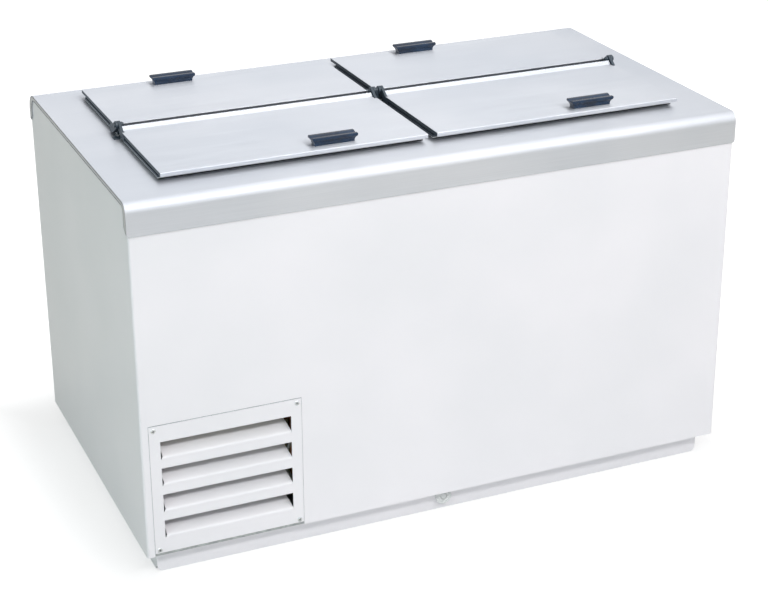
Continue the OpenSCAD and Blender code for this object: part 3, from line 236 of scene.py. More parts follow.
@dataclass(frozen=True)
class PowderCoat(Finish):
    """White polyester powder coat on steel sheet: semi-gloss, with a faint orange peel.

    Attributes:
        peel_mm: Width of the orange peel, drawn at about twice its real 1.5 mm so that it shows.
        smear_mm: Width of the patches of uneven gloss.
    """

    uneven: tuple[float, float] = (0.05, 0.07)
    relief: float = 0.06
    relief_mm: float = 0.4
    peel_mm: float = 3.2
    smear_mm: float = 90.0

    def pattern(self, tree: bpy.types.NodeTree, place: bpy.types.NodeSocket, shader: bpy.types.Node) -> None:
        """Adds the drift in tone, the uneven gloss and the orange peel.

        Args:
            tree: The material's node tree.
            place: Object coordinates in metres.
            shader: The principled shader.
        """
        tree.links.new(self.drift(tree, place), shader.inputs["Base Color"])
        smear = add(tree, "TexNoise", {"Vector": place, "Scale": per_metre(self.smear_mm), "Detail": 3.0})
        peel = add(tree, "TexNoise", {"Vector": place, "Scale": per_metre(self.peel_mm), "Detail": 1.0})
        self.texture(tree, shader, smear.outputs["Fac"], peel.outputs["Fac"])


@dataclass(frozen=True)
class BrushedSheet(Finish):
    """Stainless sheet, belt-brushed along the width: a soft sheen drawn out across the brush lines.

    Attributes:
        line_mm: Width of the brush lines, drawn five times as coarse as the real 0.3 mm.
        run_mm: Length of the brush lines.
        tint: How much the lines tint the colour.
        draw: How far the sheen is drawn out across the lines.
        turn: Turn of the sheen against the lines, in whole turns.
    """

    uneven: tuple[float, float] = (0.04, 0.06)
    relief: float = 0.05
    relief_mm: float = 0.3
    line_mm: float = 1.6
    run_mm: float = 160.0
    tint: float = 0.12
    draw: float = 0.9
    turn: float = 0.25

    def pattern(self, tree: bpy.types.NodeTree, place: bpy.types.NodeSocket, shader: bpy.types.Node) -> None:
        """Adds the brush lines in colour, roughness and relief, and the direction of the sheen.

        Args:
            tree: The material's node tree.
            place: Object coordinates in metres.
            shader: The principled shader.
        """
        stretch = (per_metre(self.run_mm), per_metre(self.line_mm), per_metre(self.line_mm))
        lined = add(tree, "Mapping", {"Vector": place, "Scale": stretch})
        lines = add(tree, "TexNoise", {"Vector": lined.outputs[0], "Scale": 1.0, "Detail": 3.0,
                                       "Roughness": 0.6})
        tint = add(tree, "Mix", {0: self.tint, 6: self.drift(tree, place), 7: lines.outputs["Fac"]},
                   data_type="RGBA", blend_type="OVERLAY")
        tree.links.new(tint.outputs[2], shader.inputs["Base Color"])
        self.texture(tree, shader, lines.outputs["Fac"], lines.outputs["Fac"], span=(0.3, 0.7))
        shader.inputs["Anisotropic"].default_value = self.draw
        shader.inputs["Anisotropic Rotation"].default_value = self.turn
        along = add(tree, "CombineXYZ", {"X": 1.0})
        tree.links.new(along.outputs[0], shader.inputs["Tangent"])


@dataclass(frozen=True)
class MouldedPlastic(Finish):
    """Injection-moulded plastic: fine spark-eroded grain and a faint flow in the tone.

    Attributes:
        grain_mm: Width of the grain, drawn about twice as coarse as the real one.
        sink: Strength of the long shallow sink marks that thick mouldings have along their length.
        sink_mm: Size of the sink marks along X, Y and Z.
        sink_depth_mm: Depth of the sink marks.
    """

    relief: float = 0.12
    grain_mm: float = 0.9
    sink: float = 0.0
    sink_mm: Place = (40.0, 5.0, 5.0)
    sink_depth_mm: float = 1.5

    def pattern(self, tree: bpy.types.NodeTree, place: bpy.types.NodeSocket, shader: bpy.types.Node) -> None:
        """Adds the flow in the tone, the grain and its scattered gloss.

        Args:
            tree: The material's node tree.
            place: Object coordinates in metres.
            shader: The principled shader.
        """
        tree.links.new(self.drift(tree, place), shader.inputs["Base Color"])
        grain = add(tree, "TexNoise", {"Vector": place, "Scale": per_metre(self.grain_mm), "Detail": 2.0})
        normal = self.texture(tree, shader, grain.outputs["Fac"], grain.outputs["Fac"])
        if self.sink:
            stretched = add(tree, "Mapping", {"Vector": place, "Scale": tuple(map(per_metre, self.sink_mm))})
            marks = add(tree, "TexNoise", {"Vector": stretched.outputs[0], "Scale": 1.0, "Detail": 1.0})
            bump = add(tree, "Bump", {"Height": marks.outputs["Fac"], "Strength": self.sink,
                                      "Distance": self.sink_depth_mm * MM, "Normal": normal})
            tree.links.new(bump.outputs["Normal"], shader.inputs["Normal"])


@dataclass(frozen=True)
class ZincSheet(Finish):
    """Hot-dip galvanised sheet: angular zinc crystals that catch the light one by one.

    Attributes:
        spangle_mm: Width of the crystals.
    """

    uneven: tuple[float, float] = (0.08, 0.12)
    spangle_mm: float = 9.0

    def pattern(self, tree: bpy.types.NodeTree, place: bpy.types.NodeSocket, shader: bpy.types.Node) -> None:
        """Adds the crystals in tone and in gloss.

        Args:
            tree: The material's node tree.
            place: Object coordinates in metres.
            shader: The principled shader.
        """
        cells = add(tree, "TexVoronoi", {"Vector": place, "Scale": per_metre(self.spangle_mm)},
                    distance="MINKOWSKI")
        tone = add(tree, "SeparateColor", {"Color": cells.outputs["Color"]})
        colour = add(tree, "ValToRGB", {"Fac": tone.outputs[0]},
                     stops=((0.0, linear(self.shade)), (1.0, linear(self.colour))))
        tree.links.new(colour.outputs["Color"], shader.inputs["Base Color"])
        self.texture(tree, shader, tone.outputs[1], None)


@dataclass(frozen=True)
class EmbossedSheet(Finish):
    """Stucco-embossed aluminium: small soft pillows pressed in rows that aren't quite regular.

    Attributes:
        pillow_mm: Width of the pillows.
        scatter: How far the pillows stray from their rows.
    """

    relief: float = 0.35
    relief_mm: float = 0.6
    pillow_mm: float = 5.0
    scatter: float = 0.7

    def pattern(self, tree: bpy.types.NodeTree, place: bpy.types.NodeSocket, shader: bpy.types.Node) -> None:
        """Adds the pressed pillows and the drift in tone.

        Args:
            tree: The material's node tree.
            place: Object coordinates in metres.
            shader: The principled shader.
        """
        tree.links.new(self.drift(tree, place), shader.inputs["Base Color"])
        pillows = add(tree, "TexVoronoi", {"Vector": place, "Scale": per_metre(self.pillow_mm),
                                           "Randomness": self.scatter}, feature="SMOOTH_F1")
        self.texture(tree, shader, None, pillows.outputs["Distance"], invert=True)


@dataclass(frozen=True)
class DrawnMetal(Finish):
    """Drawn, turned or cast metal: dull patches of handling over a fine texture.

    Attributes:
        grain_mm: Width of the texture.
        patch_mm: Width of the patches of handling.
    """

    uneven: tuple[float, float] = (0.1, 0.14)
    grain_mm: float = 1.2
    patch_mm: float = 14.0

    def pattern(self, tree: bpy.types.NodeTree, place: bpy.types.NodeSocket, shader: bpy.types.Node) -> None:
        """Adds the patches in tone and gloss, and the texture.

        Args:
            tree: The material's node tree.
            place: Object coordinates in metres.
            shader: The principled shader.
        """
        tree.links.new(self.drift(tree, place, low=0.4, high=0.7), shader.inputs["Base Color"])
        patches = add(tree, "TexNoise", {"Vector": place, "Scale": per_metre(self.patch_mm), "Detail": 4.0})
        grain = add(tree, "TexNoise", {"Vector": place, "Scale": per_metre(self.grain_mm), "Detail": 3.0})
        self.texture(tree, shader, patches.outputs["Fac"], grain.outputs["Fac"])


@dataclass(frozen=True)
class RigidFoam(Finish):
    """Cut rigid foam: cream, with small open cells all over, whose hollows are painted darker as painted
    shade.

    Attributes:
        cell_mm: Width of the cells, drawn about three times as coarse as the real ones.
    """

    relief: float = 0.5
    relief_mm: float = 0.5
    cell_mm: float = 1.5

    def pattern(self, tree: bpy.types.NodeTree, place: bpy.types.NodeSocket, shader: bpy.types.Node) -> None:
        """Adds the cells in relief, and in tone as painted shade that darkens each cell's hollow.

        Args:
            tree: The material's node tree.
            place: Object coordinates in metres.
            shader: The principled shader.
        """
        cells = add(tree, "TexVoronoi", {"Vector": place, "Scale": per_metre(self.cell_mm)})
        # Painted shade: the colour darkens towards each cell's middle, where the relief sinks.
        colour = add(tree, "ValToRGB", {"Fac": cells.outputs["Distance"]},
                     stops=((0.1, linear(self.shade)), (0.6, linear(self.colour))))
        tree.links.new(colour.outputs["Color"], shader.inputs["Base Color"])
        self.texture(tree, shader, None, cells.outputs["Distance"])


class Slot(Enum):
    """The record's material slots, each with its finish."""

    # Semi-gloss white powder coat: clean, cool white, with soft reflections of the floor
    white_paint = PowderCoat("powder_coated_steel", "#f4f2f6", "#efeef2", roughness=0.34)
    # AISI 304 sheet, belt-brushed: pale, slightly blue, bright at the folded edges
    stainless_sheet = BrushedSheet("belt_brushed_stainless", "#c2c5cb", "#bbbfc6", roughness=0.42,
                                   metallic=1.0)
    # Impact-modified ABS, moulded in dark slate: dull, with soft light along its ribs
    dark_plastic = MouldedPlastic("slate_abs_moulding", "#2f3b46", "#35424e", drift_mm=60.0, roughness=0.45,
                                  ior=1.53)
    # Polished ABS in navy: deep colour, sharper light along the lips
    navy_plastic = MouldedPlastic("navy_abs_moulding", "#071c33", "#0c2c49", drift_mm=30.0, roughness=0.24,
                                  ior=1.46, relief=0.04, sink=0.2)
    # High-impact polystyrene, thermoformed: warm white with a satin skin
    light_plastic = MouldedPlastic("white_polystyrene", "#e6e8e8", "#dfe2e2", drift_mm=160.0,
                                   roughness=0.42, ior=1.59, relief=0.08)
    # Polyurethane foam, cut: cream and dull, with small open cells whose hollows carry painted shade
    foam = RigidFoam("polyurethane_foam", "#eadfb8", "#c9b988", roughness=0.9)
    # Soft PVC extrusion: dark, matt, a little dusty
    gasket_rubber = MouldedPlastic("soft_pvc_extrusion", "#2a2d30", "#33373a", drift_mm=40.0, roughness=0.6,
                                   relief=0.2)
    # Steel pressed and painted to match the lid mouldings: dark, and a little glossier than they are
    bracket_steel = MouldedPlastic("slate_painted_steel", "#2c3843", "#34424e", drift_mm=25.0,
                                   roughness=0.38, relief=0.08)
    # Zinc-plated steel: bright, slightly blue
    bright_steel = DrawnMetal("bright_zinc_plate", "#e2e6ea", "#cdd2d7", drift_mm=20.0, roughness=0.26,
                              metallic=1.0, relief=0.04)
    # Hot-dip galvanised sheet: grey, with angular crystals that glint one by one
    zinc_sheet = ZincSheet("galvanised_sheet", "#c2c7cb", "#a3a9ae", roughness=0.42, metallic=1.0)
    # Stucco-embossed aluminium of the tank: pale, with soft broken reflections
    liner_sheet = EmbossedSheet("stucco_aluminium", "#d7dadd", "#cdd1d4", roughness=0.38, metallic=1.0)
    # Soft-drawn copper tube: brown, held darker than bare copper as painted shade where it shows through the
    # louvres, with duller patches of handling
    copper = DrawnMetal("drawn_copper_tube", "#8a5f4a", "#6d4533", drift_mm=25.0, roughness=0.38,
                        metallic=1.0)
    # Black stove enamel of the compressor and shroud: near black, with a broad soft gloss
    black_paint = DrawnMetal("black_stove_enamel", "#191b1d", "#222527", drift_mm=60.0, roughness=0.36,
                             relief=0.12)
    # Bare aluminium fins on steel tube: pale grey metal with a soft sheen
    condenser_metal = DrawnMetal("bare_aluminium_fins", "#b9bdc1", "#a2a7ab", drift_mm=40.0, roughness=0.4,
                                 metallic=1.0)
    # Zinc-aluminium die casting of the motor: dull mid grey with a coarse skin
    motor_metal = DrawnMetal("die_cast_motor_housing", "#5c6267", "#4a5056", drift_mm=30.0, roughness=0.5,
                             metallic=0.8, relief=0.25)
    # Glass-filled nylon, moulded: black and dull, with a slight grain
    black_plastic = MouldedPlastic("black_nylon_moulding", "#1c1d1f", "#232527", drift_mm=30.0,
                                   roughness=0.5, relief=0.18)


class Workshop:
    """Makes each finish once and hands it out."""

    def __init__(self) -> None:
        """Starts with no finish made."""
        self.made: dict[str, bpy.types.Material] = {}

    def material(self, slot: Slot) -> bpy.types.Material:
        """The material of a slot, built on first use."""
        if slot.name not in self.made:
            self.made[slot.name] = slot.value.make()
        return self.made[slot.name]

    def dress(self, piece: bpy.types.Object, slot: Slot) -> None:
        """Puts a slot's material on every material place of a piece.

        Args:
            piece: A CAD node or a new piece.
            slot: The slot to wear.
        """
        material = self.material(slot)
        if not piece.material_slots:
            piece.data.materials.append(material)
        for place in piece.material_slots:
            place.material = material

    def dress_nodes(self) -> int:
        """Dresses every CAD node in the slot that the record gives it.

        Returns:
            How many nodes were dressed.
        """
        rows = frame["record"]["subparts"]
        for row in rows:
            self.dress(frame["nodes"][row["node"]], Slot[row["material_slot"]])
        return len(rows)


# Modelling


def only(piece: bpy.types.Object) -> None:
    """Deselects everything and makes one piece selected and active."""
    for other in bpy.context.selected_objects:
        other.select_set(False)
    piece.select_set(True)
    bpy.context.view_layer.objects.active = piece


class Bench:
    """A piece on the bench: one mesh object that is shaped by edit-mode operators."""

    def __init__(self, name: str) -> None:
        """Takes the newest primitive, which is the active object, and names it.

        Args:
            name: Name of the finished piece.
        """
        self.piece = bpy.context.active_object
        self.piece.name = name
        self.piece.data.name = name
        only(self.piece)
        bpy.ops.object.transform_apply(location=True, rotation=True, scale=True)

    @classmethod
    def block(cls, name: str, low: Iterable[float], high: Iterable[float]) -> "Bench":
        """Starts from a block between two corners.

        Args:
            name: Name of the piece.
            low: Lowest corner in metres.
            high: Highest corner in metres.

        Returns:
            The piece on the bench.
        """
        low, high = Vector(low), Vector(high)
        bpy.ops.object.select_all(action="DESELECT")
        bpy.ops.mesh.primitive_cube_add(size=1, location=(low + high) / 2, scale=high - low)
        return cls(name)

    @classmethod
    def disc(cls, name: str, radius: float, depth: float, place: Iterable[float],
             turn: Iterable[float] = (0, 0, 0), sides: int = 32) -> "Bench":
        """Starts from a round bar.

        Args:
            name: Name of the piece.
            radius: Its radius in metres.
            depth: Its length in metres.
            place: Its middle.
            turn: Its turn about X, Y and Z in radians.
            sides: Number of sides.

        Returns:
            The piece on the bench.
        """
        bpy.ops.object.select_all(action="DESELECT")
        bpy.ops.mesh.primitive_cylinder_add(vertices=sides, radius=radius, depth=depth, location=place,
                                            rotation=turn)
        return cls(name)

    @classmethod
    def copy_of(cls, node: str, name: str) -> "Bench":
        """Starts from a copy of a CAD node, with its corners joined.

        Args:
            node: The CAD node, which stays as it is.
            name: Name of the piece.

        Returns:
            The piece on the bench, with its place in the mesh.
        """
        source = frame["nodes"][node]
        mesh = source.data.copy()
        mesh.transform(source.matrix_world)
        piece = bpy.data.objects.new(name, mesh)
        bpy.context.scene.collection.objects.link(piece)
        only(piece)
        bench = cls(name)
        bpy.ops.object.mode_set(mode="EDIT")
        bpy.ops.mesh.select_all(action="SELECT")
        bpy.ops.mesh.remove_doubles(threshold=SAME_POINT)
        bench.done()
        bpy.ops.mesh.customdata_custom_splitnormals_clear()
        return bench

    def shift(self, test: Callable[[Vector], bool], move: Iterable[float]) -> None:
        """Moves the points that pass a test.

        Args:
            test: Takes a point.
            move: How far they move, in metres.
        """
        only(self.piece)
        bpy.ops.object.mode_set(mode="EDIT")
        bpy.ops.mesh.select_mode(type="VERT")
        bpy.ops.mesh.select_all(action="DESELECT")
        mesh = bmesh.from_edit_mesh(self.piece.data)
        for point in mesh.verts:
            point.select = test(point.co)
        mesh.select_flush(True)
        bmesh.update_edit_mesh(self.piece.data)
        bpy.ops.transform.translate(value=tuple(move))
        self.done()

    def pick(self, test: Callable[[Vector, Vector], bool]) -> Vector:
        """Selects the faces whose centre and normal pass a test, in edit mode.

        Args:
            test: Takes a face's centre and its normal.

        Returns:
            The middle of the picked faces.
        """
        only(self.piece)
        bpy.ops.object.mode_set(mode="EDIT")
        bpy.ops.mesh.select_mode(type="FACE")
        bpy.ops.mesh.select_all(action="DESELECT")
        mesh = bmesh.from_edit_mesh(self.piece.data)
        picked = [f for f in mesh.faces if test(f.calc_center_median(), f.normal)]
        for f in picked:
            f.select = True
        mesh.select_flush(True)
        bmesh.update_edit_mesh(self.piece.data)
        points = [v.co for f in picked for v in f.verts]
        return sum(points, Vector()) / max(len(points), 1)

    def grow(self, move: Iterable[float], scale: Iterable[float], middle: Vector) -> Vector:
        """Extrudes the picked faces, moves them and resizes them about their middle.

        Args:
            move: How far they move, in metres.
            scale: Their new size over the old one, along X, Y and Z.
            middle: The middle of the picked faces.

        Returns:
            Their new middle.
        """
        bpy.ops.mesh.extrude_region_move(TRANSFORM_OT_translate={"value": tuple(move)})
        middle = middle + Vector(move)
        bpy.ops.transform.resize(value=tuple(scale), center_override=middle)
        return middle

    def inset(self, width_mm: float, depth_mm: float = 0.0, each: bool = False) -> None:
        """Insets the picked faces.

        Args:
            width_mm: How far their edges move in.
            depth_mm: How far they rise, or sink where it is below nought.
            each: Whether each face is inset by itself.
        """
        bpy.ops.mesh.inset(thickness=width_mm * MM, depth=depth_mm * MM, use_individual=each)

    def terrace(self, steps: Steps) -> None:
        """Insets the picked faces step by step and leaves edit mode.

        Args:
            steps: Width of each step in, and its rise, in millimetres.
        """
        for width, rise in steps:
            self.inset(width, rise)
        self.done()

    def ring(self) -> None:
        """Picks the faces that lie round the picked ones, instead of them."""
        mesh = bmesh.from_edit_mesh(self.piece.data)
        core = [f for f in mesh.faces if f.select]
        around = {f for inner in core for e in inner.edges for f in e.link_faces if not f.select}
        for f in core:
            f.select = False
        for f in around:
            f.select = True
        bmesh.update_edit_mesh(self.piece.data)

    def done(self) -> None:
        """Leaves edit mode."""
        bpy.ops.object.mode_set(mode="OBJECT")

    def modify(self, kind: str, **settings: object) -> None:
        """Adds a modifier and applies it.

        Args:
            kind: The modifier's type.
            settings: Its settings.
        """
        only(self.piece)
        modifier = self.piece.modifiers.new(kind.lower(), kind)
        for name, value in settings.items():
            setattr(modifier, name, value)
        bpy.ops.object.modifier_apply(modifier=modifier.name)

    def soften(self, width_mm: float, steps: int = 3, angle: float = 30.0) -> None:
        """Rounds the piece's sharp edges.

        Args:
            width_mm: Width of the rounding.
            steps: Number of faces across it.
            angle: Edges sharper than this, in degrees, are rounded.
        """
        self.modify("BEVEL", width=width_mm * MM, segments=steps, limit_method="ANGLE",
                    angle_limit=math.radians(angle), use_clamp_overlap=True)

    def smooth(self, angle: float) -> None:
        """Shades the piece smooth, apart from edges sharper than the angle in degrees."""
        only(self.piece)
        bpy.ops.object.shade_smooth_by_angle(angle=math.radians(angle))


def keep(piece: bpy.types.Object, shop: Workshop, slot: Slot, body: str, *nodes: str) -> bpy.types.Object:
    """Finishes a new piece: dresses it, puts it on its body and hides the CAD nodes that it stands for.

    Args:
        piece: The finished piece.
        shop: Where its material comes from.
        slot: The slot that it wears.
        body: The body that it rides on.
        nodes: CAD nodes that it stands for.

    Returns:
        The piece.
    """
    shop.dress(piece, slot)
    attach(piece, body)
    if nodes:
        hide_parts(*nodes)
    LOG.info("%s rides on %s in %s", piece.name, body, slot.name)
    return piece


@dataclass
class PullHandle:
    """A flared pull with a groove along its top, for two fingers, that replaces a plain CAD handle.

    Attributes:
        node: The CAD handle that gives its place.
        body: The lid that carries it.
        foot: Length and depth at the foot, in millimetres.
        height: Height above the skin, in millimetres.
        base_mm: Height of its straight base.
        rises: Each further step up in millimetres, with the length and the depth at its end.
        groove: Radius and depth of the groove, in millimetres.
        spare_mm: How far its top stays below the CAD handle's.
        mill_mm: Length of the bar that cuts the groove.
        roll_mm: Width of the rounding of its edges.
    """

    node: str
    body: str
    foot: tuple[float, float] = (83.0, 18.0)
    height: float = 17.4
    base_mm: float = 2.0
    rises: tuple[Place, ...] = (
        (4.0, 84.2, 19.0), (3.2, 87.6, 22.4), (3.0, 93.2, 27.0), (2.4, 94.6, 27.8), (2.8, 93.4, 26.6),
    )
    groove: tuple[float, float] = (9.0, 3.1)
    spare_mm: float = 0.1
    mill_mm: float = 120.0
    roll_mm: float = 2.3

    def build(self, shop: Workshop) -> bpy.types.Object:
        """Models the pull in place.

        Args:
            shop: Where its material comes from.

        Returns:
            The finished pull.
        """
        low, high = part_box(self.node)
        middle = (low + high) / 2
        base_z = high.z - (self.height + self.spare_mm) * MM
        half = Vector((self.foot[0] / 2, self.foot[1] / 2, 0)) * MM
        bench = Bench.block(self.node + "_pull", (middle.x - half.x, middle.y - half.y, base_z),
                            (middle.x + half.x, middle.y + half.y, base_z + self.base_mm * MM))
        at = bench.pick(lambda centre, normal: normal.z > FACING)
        length, depth = self.foot
        for rise, wide, deep in self.rises:
            at = bench.grow((0, 0, rise * MM), (wide / length, deep / depth, 1), at)
            length, depth = wide, deep
        bench.done()
        radius, sunk = self.groove
        groove_z = base_z + (self.height + radius - sunk) * MM
        mill = Bench.disc("mill", radius * MM, self.mill_mm * MM, (middle.x, middle.y, groove_z),
                          (0, math.pi / 2, 0), sides=64)
        bench.modify("BOOLEAN", object=mill.piece, operation="DIFFERENCE", solver="EXACT")
        bpy.data.objects.remove(mill.piece)
        bench.soften(self.roll_mm, steps=5, angle=18.0)
        bench.smooth(angle=40.0)
        return keep(bench.piece, shop, Slot.navy_plastic, self.body, self.node)


@dataclass
class ServicePanel:
    """The louvred panel: a joint round it, and blades torn free at their ends as a press leaves them.

    Attributes:
        node: The CAD panel that it starts from and replaces.
        joint: Extra joint in millimetres at the sides and the top, and at the foot.
        nip: How much shorter a blade's inner edge is at the right end, in millimetres.
        tear: Extra width of the tear at a blade's left end, in millimetres.
        sheet_mm: Depth behind the front in which the flat sheet lies.
        edge_mm: Points this near an end belong to its edge.
        blade_mm: Depth at the back that only the blades' inner edges reach.
    """

    node: str = "louvred_panel"
    joint: tuple[float, float] = (0.9, 3.2)
    nip: float = 7.0
    tear: float = 2.0
    sheet_mm: float = 1.4
    edge_mm: float = 0.5
    blade_mm: float = 4.0

    def build(self, shop: Workshop) -> bpy.types.Object:
        """Models the panel in place.

        Args:
            shop: Where its material comes from.

        Returns:
            The finished panel.
        """
        low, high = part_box(self.node)
        bench = Bench.copy_of(self.node, "pressed_louvre_panel")
        side, foot = self.joint
        near = self.edge_mm * MM
        bench.shift(lambda p: p.x < low.x + near, (side * MM, 0, 0))
        bench.shift(lambda p: p.x > high.x - near, (-side * MM, 0, 0))
        bench.shift(lambda p: p.z > high.z - near, (0, 0, -side * MM))
        bench.shift(lambda p: p.z < low.z + near, (0, 0, foot * MM))
        inner = high.y - self.blade_mm * MM
        sheet = low.y + self.sheet_mm * MM
        blades = [v.co.x for v in bench.piece.data.vertices if v.co.y > inner]
        left, right = min(blades), max(blades)
        bench.shift(lambda p: p.x > right - near and p.y > inner, (-self.nip * MM, 0, 0))
        bench.shift(lambda p: p.x < left + near and p.y > sheet, (self.tear * MM, 0, 0))
        bench.smooth(angle=40.0)
        bench.modify("WEIGHTED_NORMAL", keep_sharp=True)
        return keep(bench.piece, shop, Slot.white_paint, "cabinet", self.node)


@dataclass
class SoftFitting:
    """A small steel fitting with its edges broken, as tumbling or forging leaves them.

    Attributes:
        node: The CAD node that it starts from and replaces.
        name: Name of the piece.
        round_mm: Width of the rounding.
        steps: Faces across the rounding.
        angle: Edges sharper than this, in degrees, are rounded.
    """

    node: str
    name: str
    round_mm: float
    steps: int = 3
    angle: float = 40.0

    def build(self, shop: Workshop) -> bpy.types.Object:
        """Models the fitting in place.

        Args:
            shop: Where its material comes from.

        Returns:
            The finished fitting.
        """
        bench = Bench.copy_of(self.node, self.name)
        bench.soften(self.round_mm, self.steps, self.angle)
        bench.smooth(angle=35.0)
        bench.modify("WEIGHTED_NORMAL", keep_sharp=True)
        return keep(bench.piece, shop, Slot.bracket_steel, "cabinet", self.node)


@dataclass
class Worktop:
    """The stainless worktop, with the joint that runs round each end between its rim and its side band.

    Attributes:
        node: The CAD worktop that it starts from and replaces.
        rim_mm: Width of the rim outside the joint.
        joint_mm: Width of the joint.
        depth_mm: Depth of the joint.
    """

    node: str = "worktop"
    rim_mm: float = 0.5
    joint_mm: float = 2.0
    depth_mm: float = 1.8

    def build(self, shop: Workshop) -> bpy.types.Object:
        """Models the worktop in place.

        Args:
            shop: Where its material comes from.

        Returns:
            The finished worktop.
        """
        low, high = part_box(self.node)
        bench = Bench.copy_of(self.node, "folded_worktop")
        for side, edge in ((-1, low.x), (1, high.x)):
            bench.pick(lambda centre, normal: normal.x * side > SQUARE and abs(centre.x - edge) < SAME_POINT)
            bench.inset(self.rim_mm)
            bench.inset(self.joint_mm)
            bench.ring()
            bpy.ops.mesh.extrude_region_move(
                TRANSFORM_OT_translate={"value": (-side * self.depth_mm * MM, 0, 0)})
            bench.done()
        bench.smooth(angle=30.0)
        bench.modify("WEIGHTED_NORMAL", keep_sharp=True)
        return keep(bench.piece, shop, Slot.stainless_sheet, "cabinet", self.node)


@dataclass
class LidSeal:
    """A lid's seal: a soft frame whose underside is grooved between two lips.

    Attributes:
        node: The CAD seal that gives its place.
        body: The lid that carries it.
        width: Width of the seal in millimetres.
        over: How far the cutter of its hole reaches past it, in millimetres.
        lips: The steps of its underside from the edge inward.
    """

    node: str
    body: str
    width: float = 12.0
    over: float = 5.0
    lips: Steps = ((1.6, 0.0), (1.2, -0.8), (2.0, 0.0), (0.8, 0.6))

    def build(self, shop: Workshop) -> bpy.types.Object:
        """Models the seal in place.

        Args:
            shop: Where its material comes from.

        Returns:
            The finished seal.
        """
        low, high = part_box(self.node)
        bench = Bench.block(self.node + "_bellows", low, high)
        margin = Vector((self.width, self.width, -self.over)) * MM
        hole = Bench.block("hole", low + margin, high - margin)
        bench.modify("BOOLEAN", object=hole.piece, operation="DIFFERENCE", solver="EXACT")
        bpy.data.objects.remove(hole.piece)
        bench.pick(lambda centre, normal: normal.z < -FACING)
        bench.terrace(self.lips)
        bench.smooth(angle=30.0)
        return keep(bench.piece, shop, Slot.gasket_rubber, self.body, self.node)


@dataclass
class InnerPan:
    """A lid's inner pan: thermoformed sheet with a stepped field, seen when the lid stands open.

    Attributes:
        node: The CAD pan that gives its place.
        body: The lid that carries it.
        edge_mm: Width of the rounding of its edges.
        field: The steps of its underside from the edge inward.
    """

    node: str
    body: str
    edge_mm: float = 0.6
    field: Steps = ((24.0, 0.0), (2.5, -1.2), (14.0, 0.0), (2.0, 0.7))

    def build(self, shop: Workshop) -> bpy.types.Object:
        """Models the pan in place.

        Args:
            shop: Where its material comes from.

        Returns:
            The finished pan.
        """
        low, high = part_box(self.node)
        bench = Bench.block(self.node + "_formed", low, high)
        bench.soften(self.edge_mm, steps=2)
        bench.pick(lambda centre, normal: normal.z < -SQUARE)
        bench.terrace(self.field)
        bench.smooth(angle=20.0)
        return keep(bench.piece, shop, Slot.light_plastic, self.body, self.node)


@dataclass
class FlutedCap:
    """A turned part with finger flutes round it: a disc, and a bar across it where it is a knob.

    Attributes:
        node: The CAD part that it replaces.
        name: Name of the piece.
        body: The body that it rides on.
        slot: The slot that it wears.
        out: -1 where it faces the front and 1 where it faces the back.
        disc: Depth in millimetres of its disc, from its outer end without the bar.
        bar: Height in millimetres of the bar, or nought.
        stem: Radius in millimetres of the stem or plug behind it.
        flutes: Number of flutes.
        flute: Margin of a flute on its face and its depth, in millimetres.
        rim: The steps of the outer end where there is no bar.
        grip: Half the bar's width, its distance from the rim and how deep it sits, in millimetres.
        taper: Size of the stem's end over its root.
        edge_mm: Width of the rounding of its edges.
        grip_edge_mm: Width of the rounding of the bar's edges.
    """

    node: str
    name: str
    body: str
    slot: Slot
    out: int
    disc: float
    bar: float
    stem: float
    flutes: int
    flute: tuple[float, float] = (0.25, 1.1)
    rim: Steps = ((2.2, 0.0), (0.8, -0.8))
    grip: Place = (4.0, 2.0, 0.5)
    taper: float = 0.96
    edge_mm: float = 0.35
    grip_edge_mm: float = 1.2

    def build(self, shop: Workshop) -> bpy.types.Object:
        """Models the part in place.

        Args:
            shop: Where its material comes from.

        Returns:
            The finished part.
        """
        low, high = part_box(self.node)
        middle = (low + high) / 2
        radius = (high.x - low.x) / 2
        tip = high.y if self.out > 0 else low.y
        face = tip - self.out * self.bar * MM
        depth = self.disc * MM
        bench = Bench.disc(self.name, radius, depth, (middle.x, face - self.out * depth / 2, middle.z),
                           (math.pi / 2, 0, 0), 3 * self.flutes)
        turn = 2 * math.pi / self.flutes

        def fluted(centre: Vector, normal: Vector) -> bool:
            """Whether a face is the middle one of three on the side of the disc."""
            around = math.atan2(centre.z - middle.z, centre.x - middle.x) % turn
            return abs(normal.y) < 1 - FACING and turn / 3 < around < 2 * turn / 3

        bench.pick(fluted)
        margin, sunk = self.flute
        bench.inset(margin, -sunk, each=True)
        at = bench.pick(lambda centre, normal: normal.y * self.out < -FACING)
        share = self.stem * MM / radius
        at = bench.grow((0, 0, 0), (share, 1, share), at)
        reach = (high.y - low.y) - (depth + self.bar * MM)
        bench.grow((0, -self.out * reach, 0), (self.taper, 1, self.taper), at)
        bench.done()
        if self.bar:
            thick, inside, seat = self.grip
            half = Vector((thick * MM, 0, radius - inside * MM))
            deep = Vector((0, self.out * seat * MM, 0))
            ends = (Vector((middle.x, face, middle.z)) - deep, Vector((middle.x, tip, middle.z)))
            bar = Bench.block("bar", [min(a, b) for a, b in zip(ends[0] - half, ends[1] - half)],
                              [max(a, b) for a, b in zip(ends[0] + half, ends[1] + half)])
            bar.soften(self.grip_edge_mm)
            bench.modify("BOOLEAN", object=bar.piece, operation="UNION", solver="EXACT")
            bpy.data.objects.remove(bar.piece)
        else:
            bench.pick(lambda centre, normal: normal.y * self.out > FACING)
            bench.terrace(self.rim)
        bench.soften(self.edge_mm, steps=2, angle=50.0)
        bench.smooth(angle=35.0)
        return keep(bench.piece, shop, self.slot, self.body, self.node)


